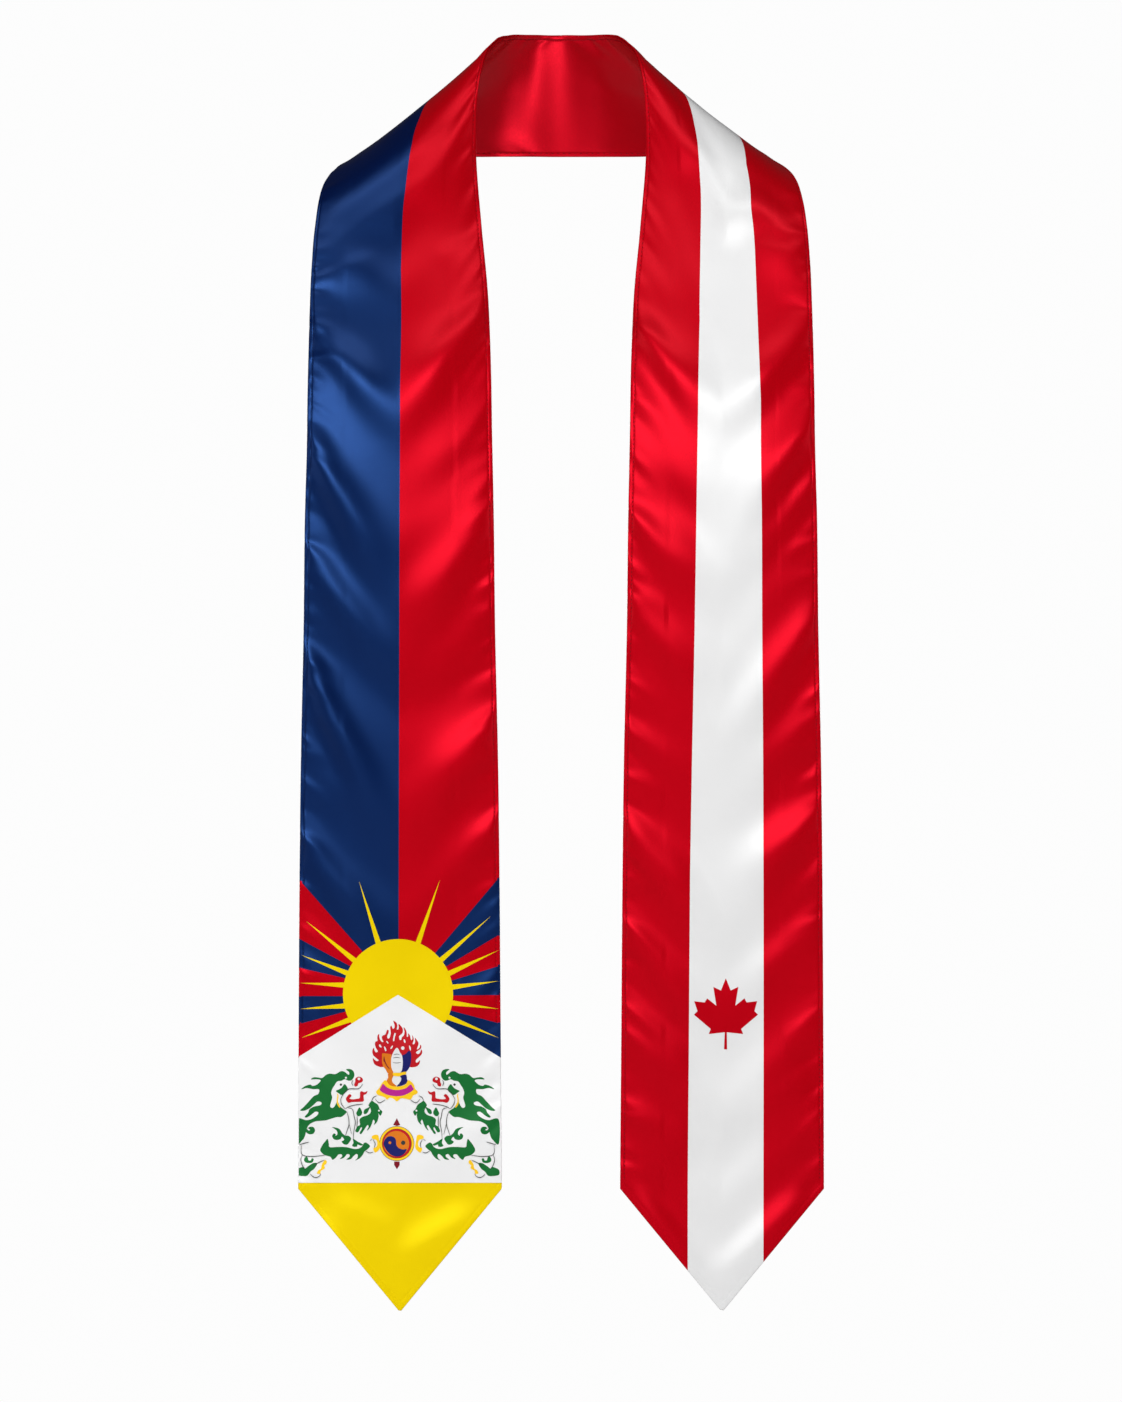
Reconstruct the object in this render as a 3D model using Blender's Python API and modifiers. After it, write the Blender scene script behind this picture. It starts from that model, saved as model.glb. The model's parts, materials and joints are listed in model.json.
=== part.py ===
"""Graduation stole, worn open round the neck with both straps hanging in front.

Metres, +Z up, the front of the stole towards -Y. The origin is the nape seat: the middle of the
neck band's inner face, on the centre plane. One satin layer is printed and shows outside, in two
panels that meet at the seam behind the neck, and a plain lining in one piece backs them both.
"""
from collections import namedtuple
from math import exp

import bmesh
import bpy
from mathutils import Vector

# Driving sizes
STRAP_WIDTH = 0.127       # across one strap at its lower corners
SPREAD = 0.3275           # across both straps, outer edge to outer edge, at their lower corners
STRAP_DROP = 0.680        # from the nape seat down to the lower corners
POINT_DROP = 0.077        # from the lower corners down to the point
NECK_WIDTH = 0.106        # across the neck opening at its widest
NECK_HEIGHT = 0.0755      # upright height of the band behind the neck
CHEST_DEPTH = 0.152       # from the nape seat forward to the straps as they hang
CLOTH_WALL = 0.001        # one satin layer with its turned edge
LAYER_GAP = 0.0003        # between the panels and the lining
SEAM_GAP = 0.0003         # between the two panels behind the neck

# Mesh density
NECK_ROWS = 26            # rows from the back seam over the shoulder to the chest
STRAP_ROWS = 44           # rows from the chest to the lower corners and the point
POINT_ROWS = 11           # the last of those, which bend down more and more into the point
COLUMNS = 8               # columns from the neck edge to the arm edge

# Sections from the back seam over the shoulder to the chest. Each is a straight line across the cloth
# from its neck edge to its arm edge. x: neck edge in halves of NECK_WIDTH, arm edge in halves of
# SPREAD; y forward in CHEST_DEPTH; z up in NECK_HEIGHT; bow: outward bulge between, in STRAP_WIDTH.
Shoulder = namedtuple("Shoulder", "neck_x neck_fore neck_up arm_x arm_fore arm_up bow")
SHOULDER_SECTIONS = (
    Shoulder(0.000, 0.092, 0.500, 0.000, -0.092, -0.500, 0.000),
    Shoulder(0.377, 0.125, 0.500, 0.336, -0.059, -0.495, -0.004),
    Shoulder(0.594, 0.184, 0.498, 0.600, 0.053, -0.478, -0.018),
    Shoulder(0.676, 0.224, 0.490, 0.747, 0.237, -0.497, -0.026),
    Shoulder(0.745, 0.263, 0.462, 0.834, 0.408, -0.575, -0.029),
    Shoulder(0.864, 0.342, 0.365, 0.890, 0.539, -0.700, -0.023),
    Shoulder(0.945, 0.414, 0.180, 0.920, 0.645, -0.875, -0.014),
    Shoulder(0.987, 0.467, -0.053, 0.937, 0.717, -1.101, 0.002),
    Shoulder(0.998, 0.533, -0.451, 0.948, 0.776, -1.379, 0.014),
    Shoulder(0.934, 0.658, -1.061, 0.955, 0.835, -1.698, 0.024),
    Shoulder(0.858, 0.789, -1.618, 0.960, 0.882, -2.069, 0.030),
    Shoulder(0.823, 0.895, -2.188, 0.964, 0.934, -2.454, 0.032),
    Shoulder(0.808, 0.954, -2.785, 0.967, 0.974, -2.918, 0.028),
)

# Level sections of the hanging strap. level: share of the way from the last shoulder section to the
# lower corners; below: depth under those corners in POINT_DROP; width in STRAP_WIDTH; arm_x in halves
# of SPREAD; fore in CHEST_DEPTH; bow in STRAP_WIDTH.
Hanging = namedtuple("Hanging", "level below width arm_x fore bow")
HANGING_SECTIONS = (
    Hanging(0.10, 0, 0.927, 0.974, 0.989, 0.024),
    Hanging(0.25, 0, 0.940, 0.979, 1.000, 0.018),
    Hanging(0.42, 0, 0.967, 0.989, 1.000, 0.012),
    Hanging(0.61, 0, 0.983, 0.995, 0.987, 0.008),
    Hanging(0.80, 0, 0.992, 0.998, 0.974, 0.006),
    Hanging(1.00, 0, 1.000, 1.000, 0.967, 0.004),
    Hanging(1.00, 1, 1.000, 1.000, 0.963, 0.004),
)

# Main folds of the straps: soft ridges that start at a pucker in one edge and sag to the middle.
# level: height of the pucker in STRAP_DROP; sag: fall along the fold in STRAP_WIDTH; reach: how far
# across it goes, in STRAP_WIDTH; rise and spread: its height and half breadth in STRAP_WIDTH.
Fold = namedtuple("Fold", "edge level sag reach rise spread")
LEFT_FOLDS = (
    Fold("neck", 0.184, 0.36, 0.55, 0.020, 0.085),
    Fold("arm", 0.206, 0.30, 0.55, 0.022, 0.090),
    Fold("arm", 0.299, 0.38, 0.52, 0.020, 0.085),
    Fold("neck", 0.362, 0.26, 0.55, 0.020, 0.080),
    Fold("arm", 0.400, 0.44, 0.52, 0.018, 0.085),
    Fold("neck", 0.433, 0.34, 0.50, 0.016, 0.075),
    Fold("arm", 0.496, 0.62, 0.50, 0.020, 0.085),
    Fold("neck", 0.561, 0.30, 0.52, 0.020, 0.080),
    Fold("neck", 0.657, 0.30, 0.50, 0.015, 0.070),
    Fold("arm", 0.669, 0.30, 0.50, 0.016, 0.075),
    Fold("arm", 0.800, 0.26, 0.45, 0.010, 0.070),
    Fold("neck", 0.860, 0.20, 0.45, 0.010, 0.070),
)
RIGHT_FOLDS = (
    Fold("neck", 0.198, 0.32, 0.55, 0.020, 0.085),
    Fold("arm", 0.204, 0.30, 0.50, 0.020, 0.085),
    Fold("arm", 0.285, 0.34, 0.50, 0.018, 0.080),
    Fold("neck", 0.308, 0.30, 0.52, 0.020, 0.080),
    Fold("neck", 0.371, 0.30, 0.50, 0.016, 0.075),
    Fold("arm", 0.437, 0.34, 0.50, 0.020, 0.085),
    Fold("neck", 0.451, 0.30, 0.50, 0.016, 0.075),
    Fold("arm", 0.521, 0.34, 0.50, 0.016, 0.080),
    Fold("neck", 0.542, 0.32, 0.50, 0.020, 0.080),
    Fold("arm", 0.636, 0.32, 0.50, 0.018, 0.080),
    Fold("neck", 0.653, 0.30, 0.50, 0.018, 0.075),
    Fold("neck", 0.748, 0.28, 0.48, 0.014, 0.070),
    Fold("arm", 0.818, 0.26, 0.45, 0.014, 0.070),
    Fold("neck", 0.947, 0.22, 0.45, 0.012, 0.065),
)

# A fold's breadth where it starts and where it ends, as shares of its spread.
PUCKERED, OPENED = 0.6, 1.2

# Folds of the neck band, which fan out from its top edge. top and bottom: where each starts and ends,
# in halves of NECK_WIDTH from the centre plane, signed towards the left; rise and spread in
# NECK_HEIGHT.
NeckFold = namedtuple("NeckFold", "top bottom rise spread")
NECK_FOLDS = (
    NeckFold(0.24, 0.42, 0.022, 0.130),
    NeckFold(0.02, -0.06, 0.016, 0.120),
    NeckFold(-0.36, -0.50, 0.020, 0.130),
)

LEFT, RIGHT = -1, 1
OUTSIDE, INSIDE = 1, -1

# The middle of the two layers lies behind the nape seat, which is on the lining's inner face.
HALF_STACK = CLOTH_WALL + LAYER_GAP / 2


def edge_points():
    """Neck edge and arm edge of every section of the right half, from the back seam to the point."""
    neck_edge, arm_edge = [], []
    for row in SHOULDER_SECTIONS:
        neck_edge.append(Vector((row.neck_x * NECK_WIDTH / 2, HALF_STACK - row.neck_fore * CHEST_DEPTH,
                                 row.neck_up * NECK_HEIGHT)))
        arm_edge.append(Vector((row.arm_x * SPREAD / 2, HALF_STACK - row.arm_fore * CHEST_DEPTH,
                                row.arm_up * NECK_HEIGHT)))
    top = (neck_edge[-1].z + arm_edge[-1].z) / 2
    for row in HANGING_SECTIONS:
        z = top - row.level * (STRAP_DROP + top) - row.below * POINT_DROP
        y = HALF_STACK - row.fore * CHEST_DEPTH
        outer = row.arm_x * SPREAD / 2
        neck_edge.append(Vector((outer - row.width * STRAP_WIDTH, y, z)))
        arm_edge.append(Vector((outer, y, z)))
    return neck_edge, arm_edge


NECK_EDGE, ARM_EDGE = edge_points()
BOWS = [row.bow * STRAP_WIDTH for row in SHOULDER_SECTIONS + HANGING_SECTIONS]


def stations():
    """Distance of each section from the back seam, measured along the middle of the cloth."""
    along = [0.0]
    for k in range(1, len(NECK_EDGE)):
        step = (NECK_EDGE[k] + ARM_EDGE[k] - NECK_EDGE[k - 1] - ARM_EDGE[k - 1]) / 2
        along.append(along[-1] + step.length)
    return along


STATIONS = stations()
CORNER_STATION = STATIONS[-2]
CHEST_STATION = STATIONS[len(SHOULDER_SECTIONS) - 1]


def mirrored(point):
    """The same point on the other side of the centre plane."""
    return Vector((-point.x, point.y, point.z))


def slope(values, k):
    """Direction of a smooth curve at one of its values; the seam's comes from the mirrored side."""
    if k == len(values) - 1:
        return (values[k] - values[k - 1]) / (STATIONS[k] - STATIONS[k - 1])
    if k == 0:
        before = mirrored(values[1]) if isinstance(values[1], Vector) else values[1]
        return (values[1] - before) / (2 * STATIONS[1])
    ahead, back = STATIONS[k + 1] - STATIONS[k], STATIONS[k] - STATIONS[k - 1]
    rise_ahead = (values[k + 1] - values[k]) / ahead
    rise_back = (values[k] - values[k - 1]) / back
    return (rise_ahead * back + rise_back * ahead) / (ahead + back)


def smooth(values, station):
    """Value at a station, on a smooth curve through the values at the sections."""
    k = 0
    while k < len(STATIONS) - 2 and station > STATIONS[k + 1]:
        k += 1
    length = STATIONS[k + 1] - STATIONS[k]
    t = (station - STATIONS[k]) / length
    start = values[k] * (2 * t**3 - 3 * t**2 + 1) + slope(values, k) * (t**3 - 2 * t**2 + t) * length
    end = values[k + 1] * (3 * t**2 - 2 * t**3) + slope(values, k + 1) * (t**3 - t**2) * length
    return start + end


def plain_point(station, across):
    """Point of the right half's flat cloth; across runs from 0 at the neck edge to 1 at the arm edge."""
    neck, arm = smooth(NECK_EDGE, station), smooth(ARM_EDGE, station)
    return neck + (arm - neck) * across


def plain_normal(station, across):
    """Outward direction of the right half's flat cloth."""
    behind = plain_point(abs(station - CLOTH_WALL), across)
    along = plain_point(station + CLOTH_WALL, across)
    along -= behind if station > CLOTH_WALL else mirrored(behind)
    return along.cross(plain_point(station, 1) - plain_point(station, 0)).normalized()


def strap_fold(folds, point, across):
    """Outward rise of all main folds at one point of a strap."""
    rise = 0.0
    for fold in folds:
        reached = (across if fold.edge == "neck" else 1 - across) / fold.reach
        ridge = -fold.level * STRAP_DROP - fold.sag * STRAP_WIDTH * reached
        breadth = fold.spread * STRAP_WIDTH * (PUCKERED + (OPENED - PUCKERED) * reached)
        fade = max(1 - reached**2, 0)
        rise += fold.rise * STRAP_WIDTH * fade * exp(-((point.z - ridge) / breadth)**2)
    return rise


def neck_fold(side, point, across, station):
    """Outward rise of all neck folds at one point of the band."""
    rise = 0.0
    for fold in NECK_FOLDS:
        middle = (fold.top + (fold.bottom - fold.top) * across) * NECK_WIDTH / 2
        breadth = fold.spread * NECK_HEIGHT * (PUCKERED + (OPENED - PUCKERED) * across)
        rise += fold.rise * NECK_HEIGHT * exp(-((-side * point.x - middle) / breadth)**2)
    return rise * max(1 - station / NECK_WIDTH, 0)


def cloth_point(side, station, across, lift):
    """Point of the folded cloth on one side, lifted outwards from the middle of its layers."""
    point = plain_point(station, across)
    folds = LEFT_FOLDS if side == LEFT else RIGHT_FOLDS
    bow = smooth(BOWS, station) * 4 * across * (1 - across)
    rise = bow + strap_fold(folds, point, across) + neck_fold(side, point, across, station)
    point += plain_normal(station, across) * (rise + lift)
    return point if side == RIGHT else mirrored(point)


def row_station(row, across):
    """Distance of a mesh row from the back seam; the last rows bend down into the point."""
    if row <= NECK_ROWS:
        return CHEST_STATION * row / NECK_ROWS
    level = CHEST_STATION + (CORNER_STATION - CHEST_STATION) * (row - NECK_ROWS) / STRAP_ROWS
    bend = max(row - NECK_ROWS - STRAP_ROWS + POINT_ROWS, 0) / POINT_ROWS
    return level + POINT_DROP * (1 - abs(2 * across - 1)) * bend


def satin(name, color, roughness):
    """Satin of one colour."""
    finish = bpy.data.materials.new(name)
    finish.use_nodes = True
    shader = finish.node_tree.nodes["Principled BSDF"]
    shader.inputs["Base Color"].default_value = (*color, 1)
    shader.inputs["Roughness"].default_value = roughness
    shader.inputs["Metallic"].default_value = 0.0
    shader.inputs["Sheen Weight"].default_value = 0.2
    return finish


def cloth_layer(name, rows, place, face, finish):
    """One layer of cloth: an open grid, put in place row by row so that its faces look outwards."""
    grid = bmesh.new()
    bmesh.ops.create_grid(grid, x_segments=rows, y_segments=COLUMNS, size=0.5)
    for vertex in grid.verts:
        row = round((vertex.co.x + 0.5) * rows)
        across = round((vertex.co.y + 0.5) * COLUMNS) / COLUMNS
        vertex.co = place(row, across)
    bmesh.ops.triangulate(grid, faces=grid.faces, quad_method="FIXED")
    mesh = bpy.data.meshes.new(name)
    grid.to_mesh(mesh)
    grid.free()
    mesh.materials.append(finish)
    layer = bpy.data.objects.new(name, mesh)
    stole.objects.link(layer)
    wall = layer.modifiers.new("wall", "SOLIDIFY")
    wall.thickness = CLOTH_WALL
    wall.offset = face
    wall.use_even_offset = False
    return layer


def panel(name, side, finish):
    """Outer layer of one half, between the seam behind the neck and its point."""
    half = NECK_ROWS + STRAP_ROWS

    def place(row, across):
        station = row_station(half - row if side == LEFT else row, across)
        return cloth_point(side, max(station, SEAM_GAP / 2), across, LAYER_GAP / 2)
    return cloth_layer(name, half, place, OUTSIDE, finish)


def lining(name, finish):
    """Inner layer of both halves in one piece, from point to point round the neck."""
    half = NECK_ROWS + STRAP_ROWS

    def place(row, across):
        side = LEFT if row < half else RIGHT
        return cloth_point(side, row_station(abs(row - half), across), across, -LAYER_GAP / 2)
    return cloth_layer(name, 2 * half, place, INSIDE, finish)


for old in list(bpy.data.objects):
    bpy.data.objects.remove(old)
stole = bpy.data.collections.new("graduation_stole")
bpy.context.scene.collection.children.link(stole)

panel("left_panel", LEFT, satin("blue_red_satin", (0.020, 0.055, 0.200), 0.34))
panel("right_panel", RIGHT, satin("red_white_satin", (0.620, 0.012, 0.030), 0.34))
lining("lining", satin("lining_satin", (0.560, 0.010, 0.030), 0.38))
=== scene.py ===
"""Looks of the graduation stole: printed satin panels, lining, topstitching and studio.

The stole is worn open round the neck, its straps hanging towards -Y. Sizes are in metres, and the
origin is the nape seat. Every layer follows one folded cloth form, which has the sections of the
solids, and its own folds and edge puckers.
"""
import json
import logging
import math
from dataclasses import dataclass, field
from enum import Enum
from typing import Callable, NamedTuple, Optional, Sequence

import bpy
import numpy as np
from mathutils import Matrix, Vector, geometry

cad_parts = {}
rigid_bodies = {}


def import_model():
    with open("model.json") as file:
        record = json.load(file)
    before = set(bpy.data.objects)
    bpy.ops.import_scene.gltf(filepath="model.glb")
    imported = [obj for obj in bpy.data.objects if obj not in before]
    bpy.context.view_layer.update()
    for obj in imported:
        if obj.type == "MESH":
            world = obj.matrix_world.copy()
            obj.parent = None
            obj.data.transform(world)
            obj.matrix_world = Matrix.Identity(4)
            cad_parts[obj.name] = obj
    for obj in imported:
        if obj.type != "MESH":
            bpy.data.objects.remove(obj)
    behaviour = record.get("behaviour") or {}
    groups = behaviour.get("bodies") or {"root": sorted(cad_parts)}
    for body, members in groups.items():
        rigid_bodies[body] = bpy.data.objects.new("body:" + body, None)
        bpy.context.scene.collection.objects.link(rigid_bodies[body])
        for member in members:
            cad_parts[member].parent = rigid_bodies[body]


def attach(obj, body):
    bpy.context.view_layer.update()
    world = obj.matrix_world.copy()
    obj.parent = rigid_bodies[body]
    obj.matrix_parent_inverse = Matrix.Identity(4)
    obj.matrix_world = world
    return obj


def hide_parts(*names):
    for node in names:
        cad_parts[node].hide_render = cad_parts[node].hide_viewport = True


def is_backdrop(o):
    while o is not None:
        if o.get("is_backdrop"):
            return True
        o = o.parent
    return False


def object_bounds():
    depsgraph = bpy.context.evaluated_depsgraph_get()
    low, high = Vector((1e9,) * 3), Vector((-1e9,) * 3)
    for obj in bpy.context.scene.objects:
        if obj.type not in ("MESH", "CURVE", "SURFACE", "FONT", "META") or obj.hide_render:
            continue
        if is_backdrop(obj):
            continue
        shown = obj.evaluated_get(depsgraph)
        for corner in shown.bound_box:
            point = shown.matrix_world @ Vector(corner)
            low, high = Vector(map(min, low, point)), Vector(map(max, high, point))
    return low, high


log = logging.getLogger("stole")

BODY = "root"
MM = 0.001
PIXEL = 0.6226 * MM       # one pixel of the picture at the stole
MIDDLE_PIXEL = 561.0      # the stole's centre plane in the picture
ORIGIN_PIXEL = 96.5       # height of the origin in the picture


class Side(Enum):
    """Half of the stole, as the photo shows it; the value is the sign of its x."""

    LEFT = -1
    RIGHT = 1


class Edge(Enum):
    """Long edge of the cloth that a fold starts from."""

    NECK = "neck"
    ARM = "arm"


class Face(Enum):
    """Face of a layer; the value is the sign of its lift."""

    OUTER = 1
    INNER = -1


class Shoulder(NamedTuple):
    """Section from the back seam over the shoulder, as part of the sizes in Cut."""

    neck_x: float
    neck_fore: float
    neck_up: float
    arm_x: float
    arm_fore: float
    arm_up: float
    bow: float


class Hanging(NamedTuple):
    """Level section of the hanging strap, as part of the sizes in Cut."""

    level: float
    below: float
    width: float
    arm_x: float
    fore: float
    bow: float


class Fold(NamedTuple):
    """Soft ridge that starts at a pucker in one edge and sags to the middle.

    level is its start in strap drops; sag, reach and breadth are in strap widths, and FOLD_TILT times
    tilt is the steepest slope of its faces.
    """

    edge: Edge
    level: float
    sag: float = 0.16
    reach: float = 0.20
    breadth: float = 0.070
    tilt: float = 0.16


class Swag(NamedTuple):
    """Broad soft ridge that hangs from one edge of a strap to its middle.

    start and end are its heights in the picture at the edge and at the middle, in pixels, breadth is in
    strap widths, tilt is its steepest slope, and curve is over 1 where it falls faster near the edge.
    """

    edge: Edge
    start: float
    end: float
    breadth: float
    tilt: float
    curve: float = 1.2


class Streak(NamedTuple):
    """Straight soft ridge of the shoulders and strap ends, in picture pixels, with its slope."""

    start: tuple[float, float]
    end: tuple[float, float]
    breadth: float
    tilt: float


class NeckFold(NamedTuple):
    """Fold of the neck band; top and bottom in half neck widths, to the photo's left."""

    top: float
    bottom: float
    rise: float
    breadth: float


SHOULDER_SECTIONS = (
    Shoulder(0.000, 0.092, 0.500, 0.000, -0.092, -0.500, 0.000),
    Shoulder(0.377, 0.125, 0.500, 0.336, -0.059, -0.495, -0.004),
    Shoulder(0.594, 0.184, 0.498, 0.600, 0.053, -0.478, -0.018),
    Shoulder(0.676, 0.224, 0.490, 0.747, 0.237, -0.497, -0.026),
    Shoulder(0.745, 0.263, 0.462, 0.834, 0.408, -0.575, -0.029),
    Shoulder(0.864, 0.342, 0.365, 0.890, 0.539, -0.700, -0.023),
    Shoulder(0.945, 0.414, 0.180, 0.920, 0.645, -0.875, -0.014),
    Shoulder(0.987, 0.467, -0.053, 0.937, 0.717, -1.101, 0.002),
    Shoulder(0.998, 0.533, -0.451, 0.948, 0.776, -1.379, 0.014),
    Shoulder(0.934, 0.658, -1.061, 0.955, 0.835, -1.698, 0.024),
    Shoulder(0.858, 0.789, -1.618, 0.960, 0.882, -2.069, 0.030),
    Shoulder(0.823, 0.895, -2.188, 0.964, 0.934, -2.454, 0.032),
    Shoulder(0.808, 0.954, -2.785, 0.967, 0.974, -2.918, 0.028),
)

HANGING_SECTIONS = (
    Hanging(0.10, 0, 0.927, 0.974, 0.989, 0.024),
    Hanging(0.25, 0, 0.940, 0.979, 1.000, 0.018),
    Hanging(0.42, 0, 0.967, 0.989, 1.000, 0.012),
    Hanging(0.61, 0, 0.983, 0.995, 0.987, 0.008),
    Hanging(0.80, 0, 0.992, 0.998, 0.974, 0.006),
    Hanging(1.00, 0, 1.000, 1.000, 0.967, 0.004),
    Hanging(1.00, 1, 1.000, 1.000, 0.963, 0.004),
)

LEFT_FOLDS = (
    Fold(Edge.ARM, 0.206),
    Fold(Edge.ARM, 0.262, 0.12, 0.18, 0.045, 0.12),
    Fold(Edge.ARM, 0.299),
    Fold(Edge.ARM, 0.362, 0.10, 0.16, 0.045, 0.10),
    Fold(Edge.ARM, 0.401),
    Fold(Edge.ARM, 0.468, 0.10, 0.18, 0.050, 0.10),
    Fold(Edge.ARM, 0.497),
    Fold(Edge.ARM, 0.560, 0.10, 0.16, 0.045, 0.12),
    Fold(Edge.ARM, 0.590, 0.12, 0.18, 0.050, 0.12),
    Fold(Edge.ARM, 0.669),
    Fold(Edge.ARM, 0.720, 0.10, 0.16, 0.050, 0.10),
    Fold(Edge.NECK, 0.160, 0.10, 0.16, 0.045, 0.12),
    Fold(Edge.NECK, 0.188),
    Fold(Edge.NECK, 0.224, 0.10, 0.16, 0.050, 0.12),
    Fold(Edge.NECK, 0.247, 0.12, 0.18, 0.060, 0.08),
    Fold(Edge.NECK, 0.363),
    Fold(Edge.NECK, 0.434, 0.14, 0.20, 0.060, 0.08),
    Fold(Edge.NECK, 0.542, 0.08, 0.14, 0.045, 0.12),
    Fold(Edge.NECK, 0.559),
    Fold(Edge.NECK, 0.610, 0.14, 0.20, 0.060, 0.08),
    Fold(Edge.NECK, 0.652),
    Fold(Edge.NECK, 0.709, 0.08, 0.14, 0.045, 0.12),
    Fold(Edge.NECK, 0.920),
)

RIGHT_FOLDS = (
    Fold(Edge.NECK, 0.160, 0.10, 0.16, 0.050, 0.10),
    Fold(Edge.NECK, 0.199),
    Fold(Edge.NECK, 0.258, 0.08, 0.14, 0.050, 0.08),
    Fold(Edge.NECK, 0.308, 0.10, 0.16, 0.050, 0.12),
    Fold(Edge.NECK, 0.340, 0.14, 0.20, 0.070, 0.07),
    Fold(Edge.NECK, 0.372),
    Fold(Edge.NECK, 0.430, 0.08, 0.14, 0.040, 0.12),
    Fold(Edge.NECK, 0.452),
    Fold(Edge.NECK, 0.542, 0.08, 0.14, 0.045, 0.12),
    Fold(Edge.NECK, 0.569, 0.14, 0.20, 0.070, 0.12),
    Fold(Edge.NECK, 0.653),
    Fold(Edge.NECK, 0.718, 0.08, 0.14, 0.050, 0.10),
    Fold(Edge.NECK, 0.749),
    Fold(Edge.NECK, 0.820, 0.10, 0.16, 0.050, 0.08),
    Fold(Edge.NECK, 0.947, 0.10, 0.16, 0.045, 0.10),
    Fold(Edge.NECK, 0.976),
    Fold(Edge.ARM, 0.124, 0.10, 0.16, 0.060, 0.12),
    Fold(Edge.ARM, 0.160, 0.10, 0.16, 0.050, 0.12),
    Fold(Edge.ARM, 0.206),
    Fold(Edge.ARM, 0.286),
    Fold(Edge.ARM, 0.352, 0.10, 0.16, 0.050, 0.10),
    Fold(Edge.ARM, 0.437, 0.12, 0.18, 0.060, 0.08),
    Fold(Edge.ARM, 0.467),
    Fold(Edge.ARM, 0.540, 0.08, 0.14, 0.045, 0.12),
    Fold(Edge.ARM, 0.557),
    Fold(Edge.ARM, 0.637),
    Fold(Edge.ARM, 0.705, 0.08, 0.14, 0.045, 0.10),
    Fold(Edge.ARM, 0.748),
    Fold(Edge.ARM, 0.873, 0.16, 0.20, 0.070, 0.12),
    Fold(Edge.ARM, 0.964),
)

LEFT_SWAGS = (
    Swag(Edge.ARM, 312, 378, 0.100, 0.25),
    Swag(Edge.ARM, 422, 532, 0.125, 0.24, 1.5),
    Swag(Edge.ARM, 533, 622, 0.105, 0.18, 1.5),
    Swag(Edge.ARM, 638, 766, 0.125, 0.25, 1.7),
    Swag(Edge.ARM, 742, 812, 0.070, 0.10, 1.4),
    Swag(Edge.ARM, 826, 908, 0.110, 0.22, 1.5),
    Swag(Edge.ARM, 940, 1000, 0.120, 0.06),
    Swag(Edge.NECK, 292, 362, 0.110, 0.28),
    Swag(Edge.NECK, 404, 464, 0.080, 0.07),
    Swag(Edge.NECK, 502, 576, 0.130, 0.21),
    Swag(Edge.NECK, 606, 668, 0.090, 0.08),
    Swag(Edge.NECK, 710, 782, 0.130, 0.23, 1.1),
    Swag(Edge.NECK, 812, 884, 0.100, 0.13),
    Swag(Edge.NECK, 960, 1010, 0.120, 0.06),
)

RIGHT_SWAGS = (
    Swag(Edge.NECK, 308, 382, 0.105, 0.28),
    Swag(Edge.NECK, 433, 482, 0.080, 0.08),
    Swag(Edge.NECK, 503, 562, 0.100, 0.20, 1.3),
    Swag(Edge.NECK, 590, 658, 0.110, 0.21, 1.3),
    Swag(Edge.NECK, 717, 764, 0.080, 0.08),
    Swag(Edge.NECK, 810, 886, 0.120, 0.22, 1.3),
    Swag(Edge.NECK, 914, 984, 0.110, 0.18, 1.3),
    Swag(Edge.NECK, 1030, 1085, 0.110, 0.11),
    Swag(Edge.ARM, 312, 378, 0.100, 0.25),
    Swag(Edge.ARM, 408, 494, 0.110, 0.20),
    Swag(Edge.ARM, 476, 556, 0.080, 0.11),
    Swag(Edge.ARM, 606, 684, 0.120, 0.22),
    Swag(Edge.ARM, 702, 762, 0.090, 0.09),
    Swag(Edge.ARM, 798, 862, 0.110, 0.22),
    Swag(Edge.ARM, 905, 974, 0.090, 0.13),
    Swag(Edge.ARM, 1010, 1078, 0.100, 0.10),
)

LEFT_STREAKS = (
    Streak((434, 130), (316, 226), 15, 0.18),
    Streak((424, 186), (312, 264), 16, 0.20),
    Streak((486, 106), (418, 200), 19, 0.25),
    Streak((492, 236), (440, 262), 12, 0.10),
    Streak((372, 262), (312, 284), 10, 0.10),
    Streak((316, 1226), (392, 1340), 19, 0.20),
    Streak((396, 1264), (478, 1214), 20, 0.13),
    Streak((330, 1204), (400, 1232), 16, 0.10),
)

RIGHT_STREAKS = (
    Streak((742, 196), (812, 268), 19, 0.25),
    Streak((640, 112), (704, 172), 17, 0.22),
    Streak((694, 176), (750, 226), 18, 0.15),
    Streak((752, 250), (812, 262), 9, 0.10),
    Streak((628, 1190), (700, 1278), 18, 0.22),
    Streak((716, 1286), (806, 1196), 18, 0.20),
    Streak((622, 1090), (692, 1150), 18, 0.14),
    Streak((752, 1120), (812, 1076), 17, 0.16),
    Streak((622, 1010), (692, 1060), 16, 0.10),
)

NECK_FOLDS = (
    NeckFold(0.30, 0.36, 0.014, 0.150),
    NeckFold(0.62, 0.70, 0.012, 0.140),
    NeckFold(-0.10, -0.16, 0.010, 0.160),
    NeckFold(-0.46, -0.56, 0.010, 0.150),
)

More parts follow.
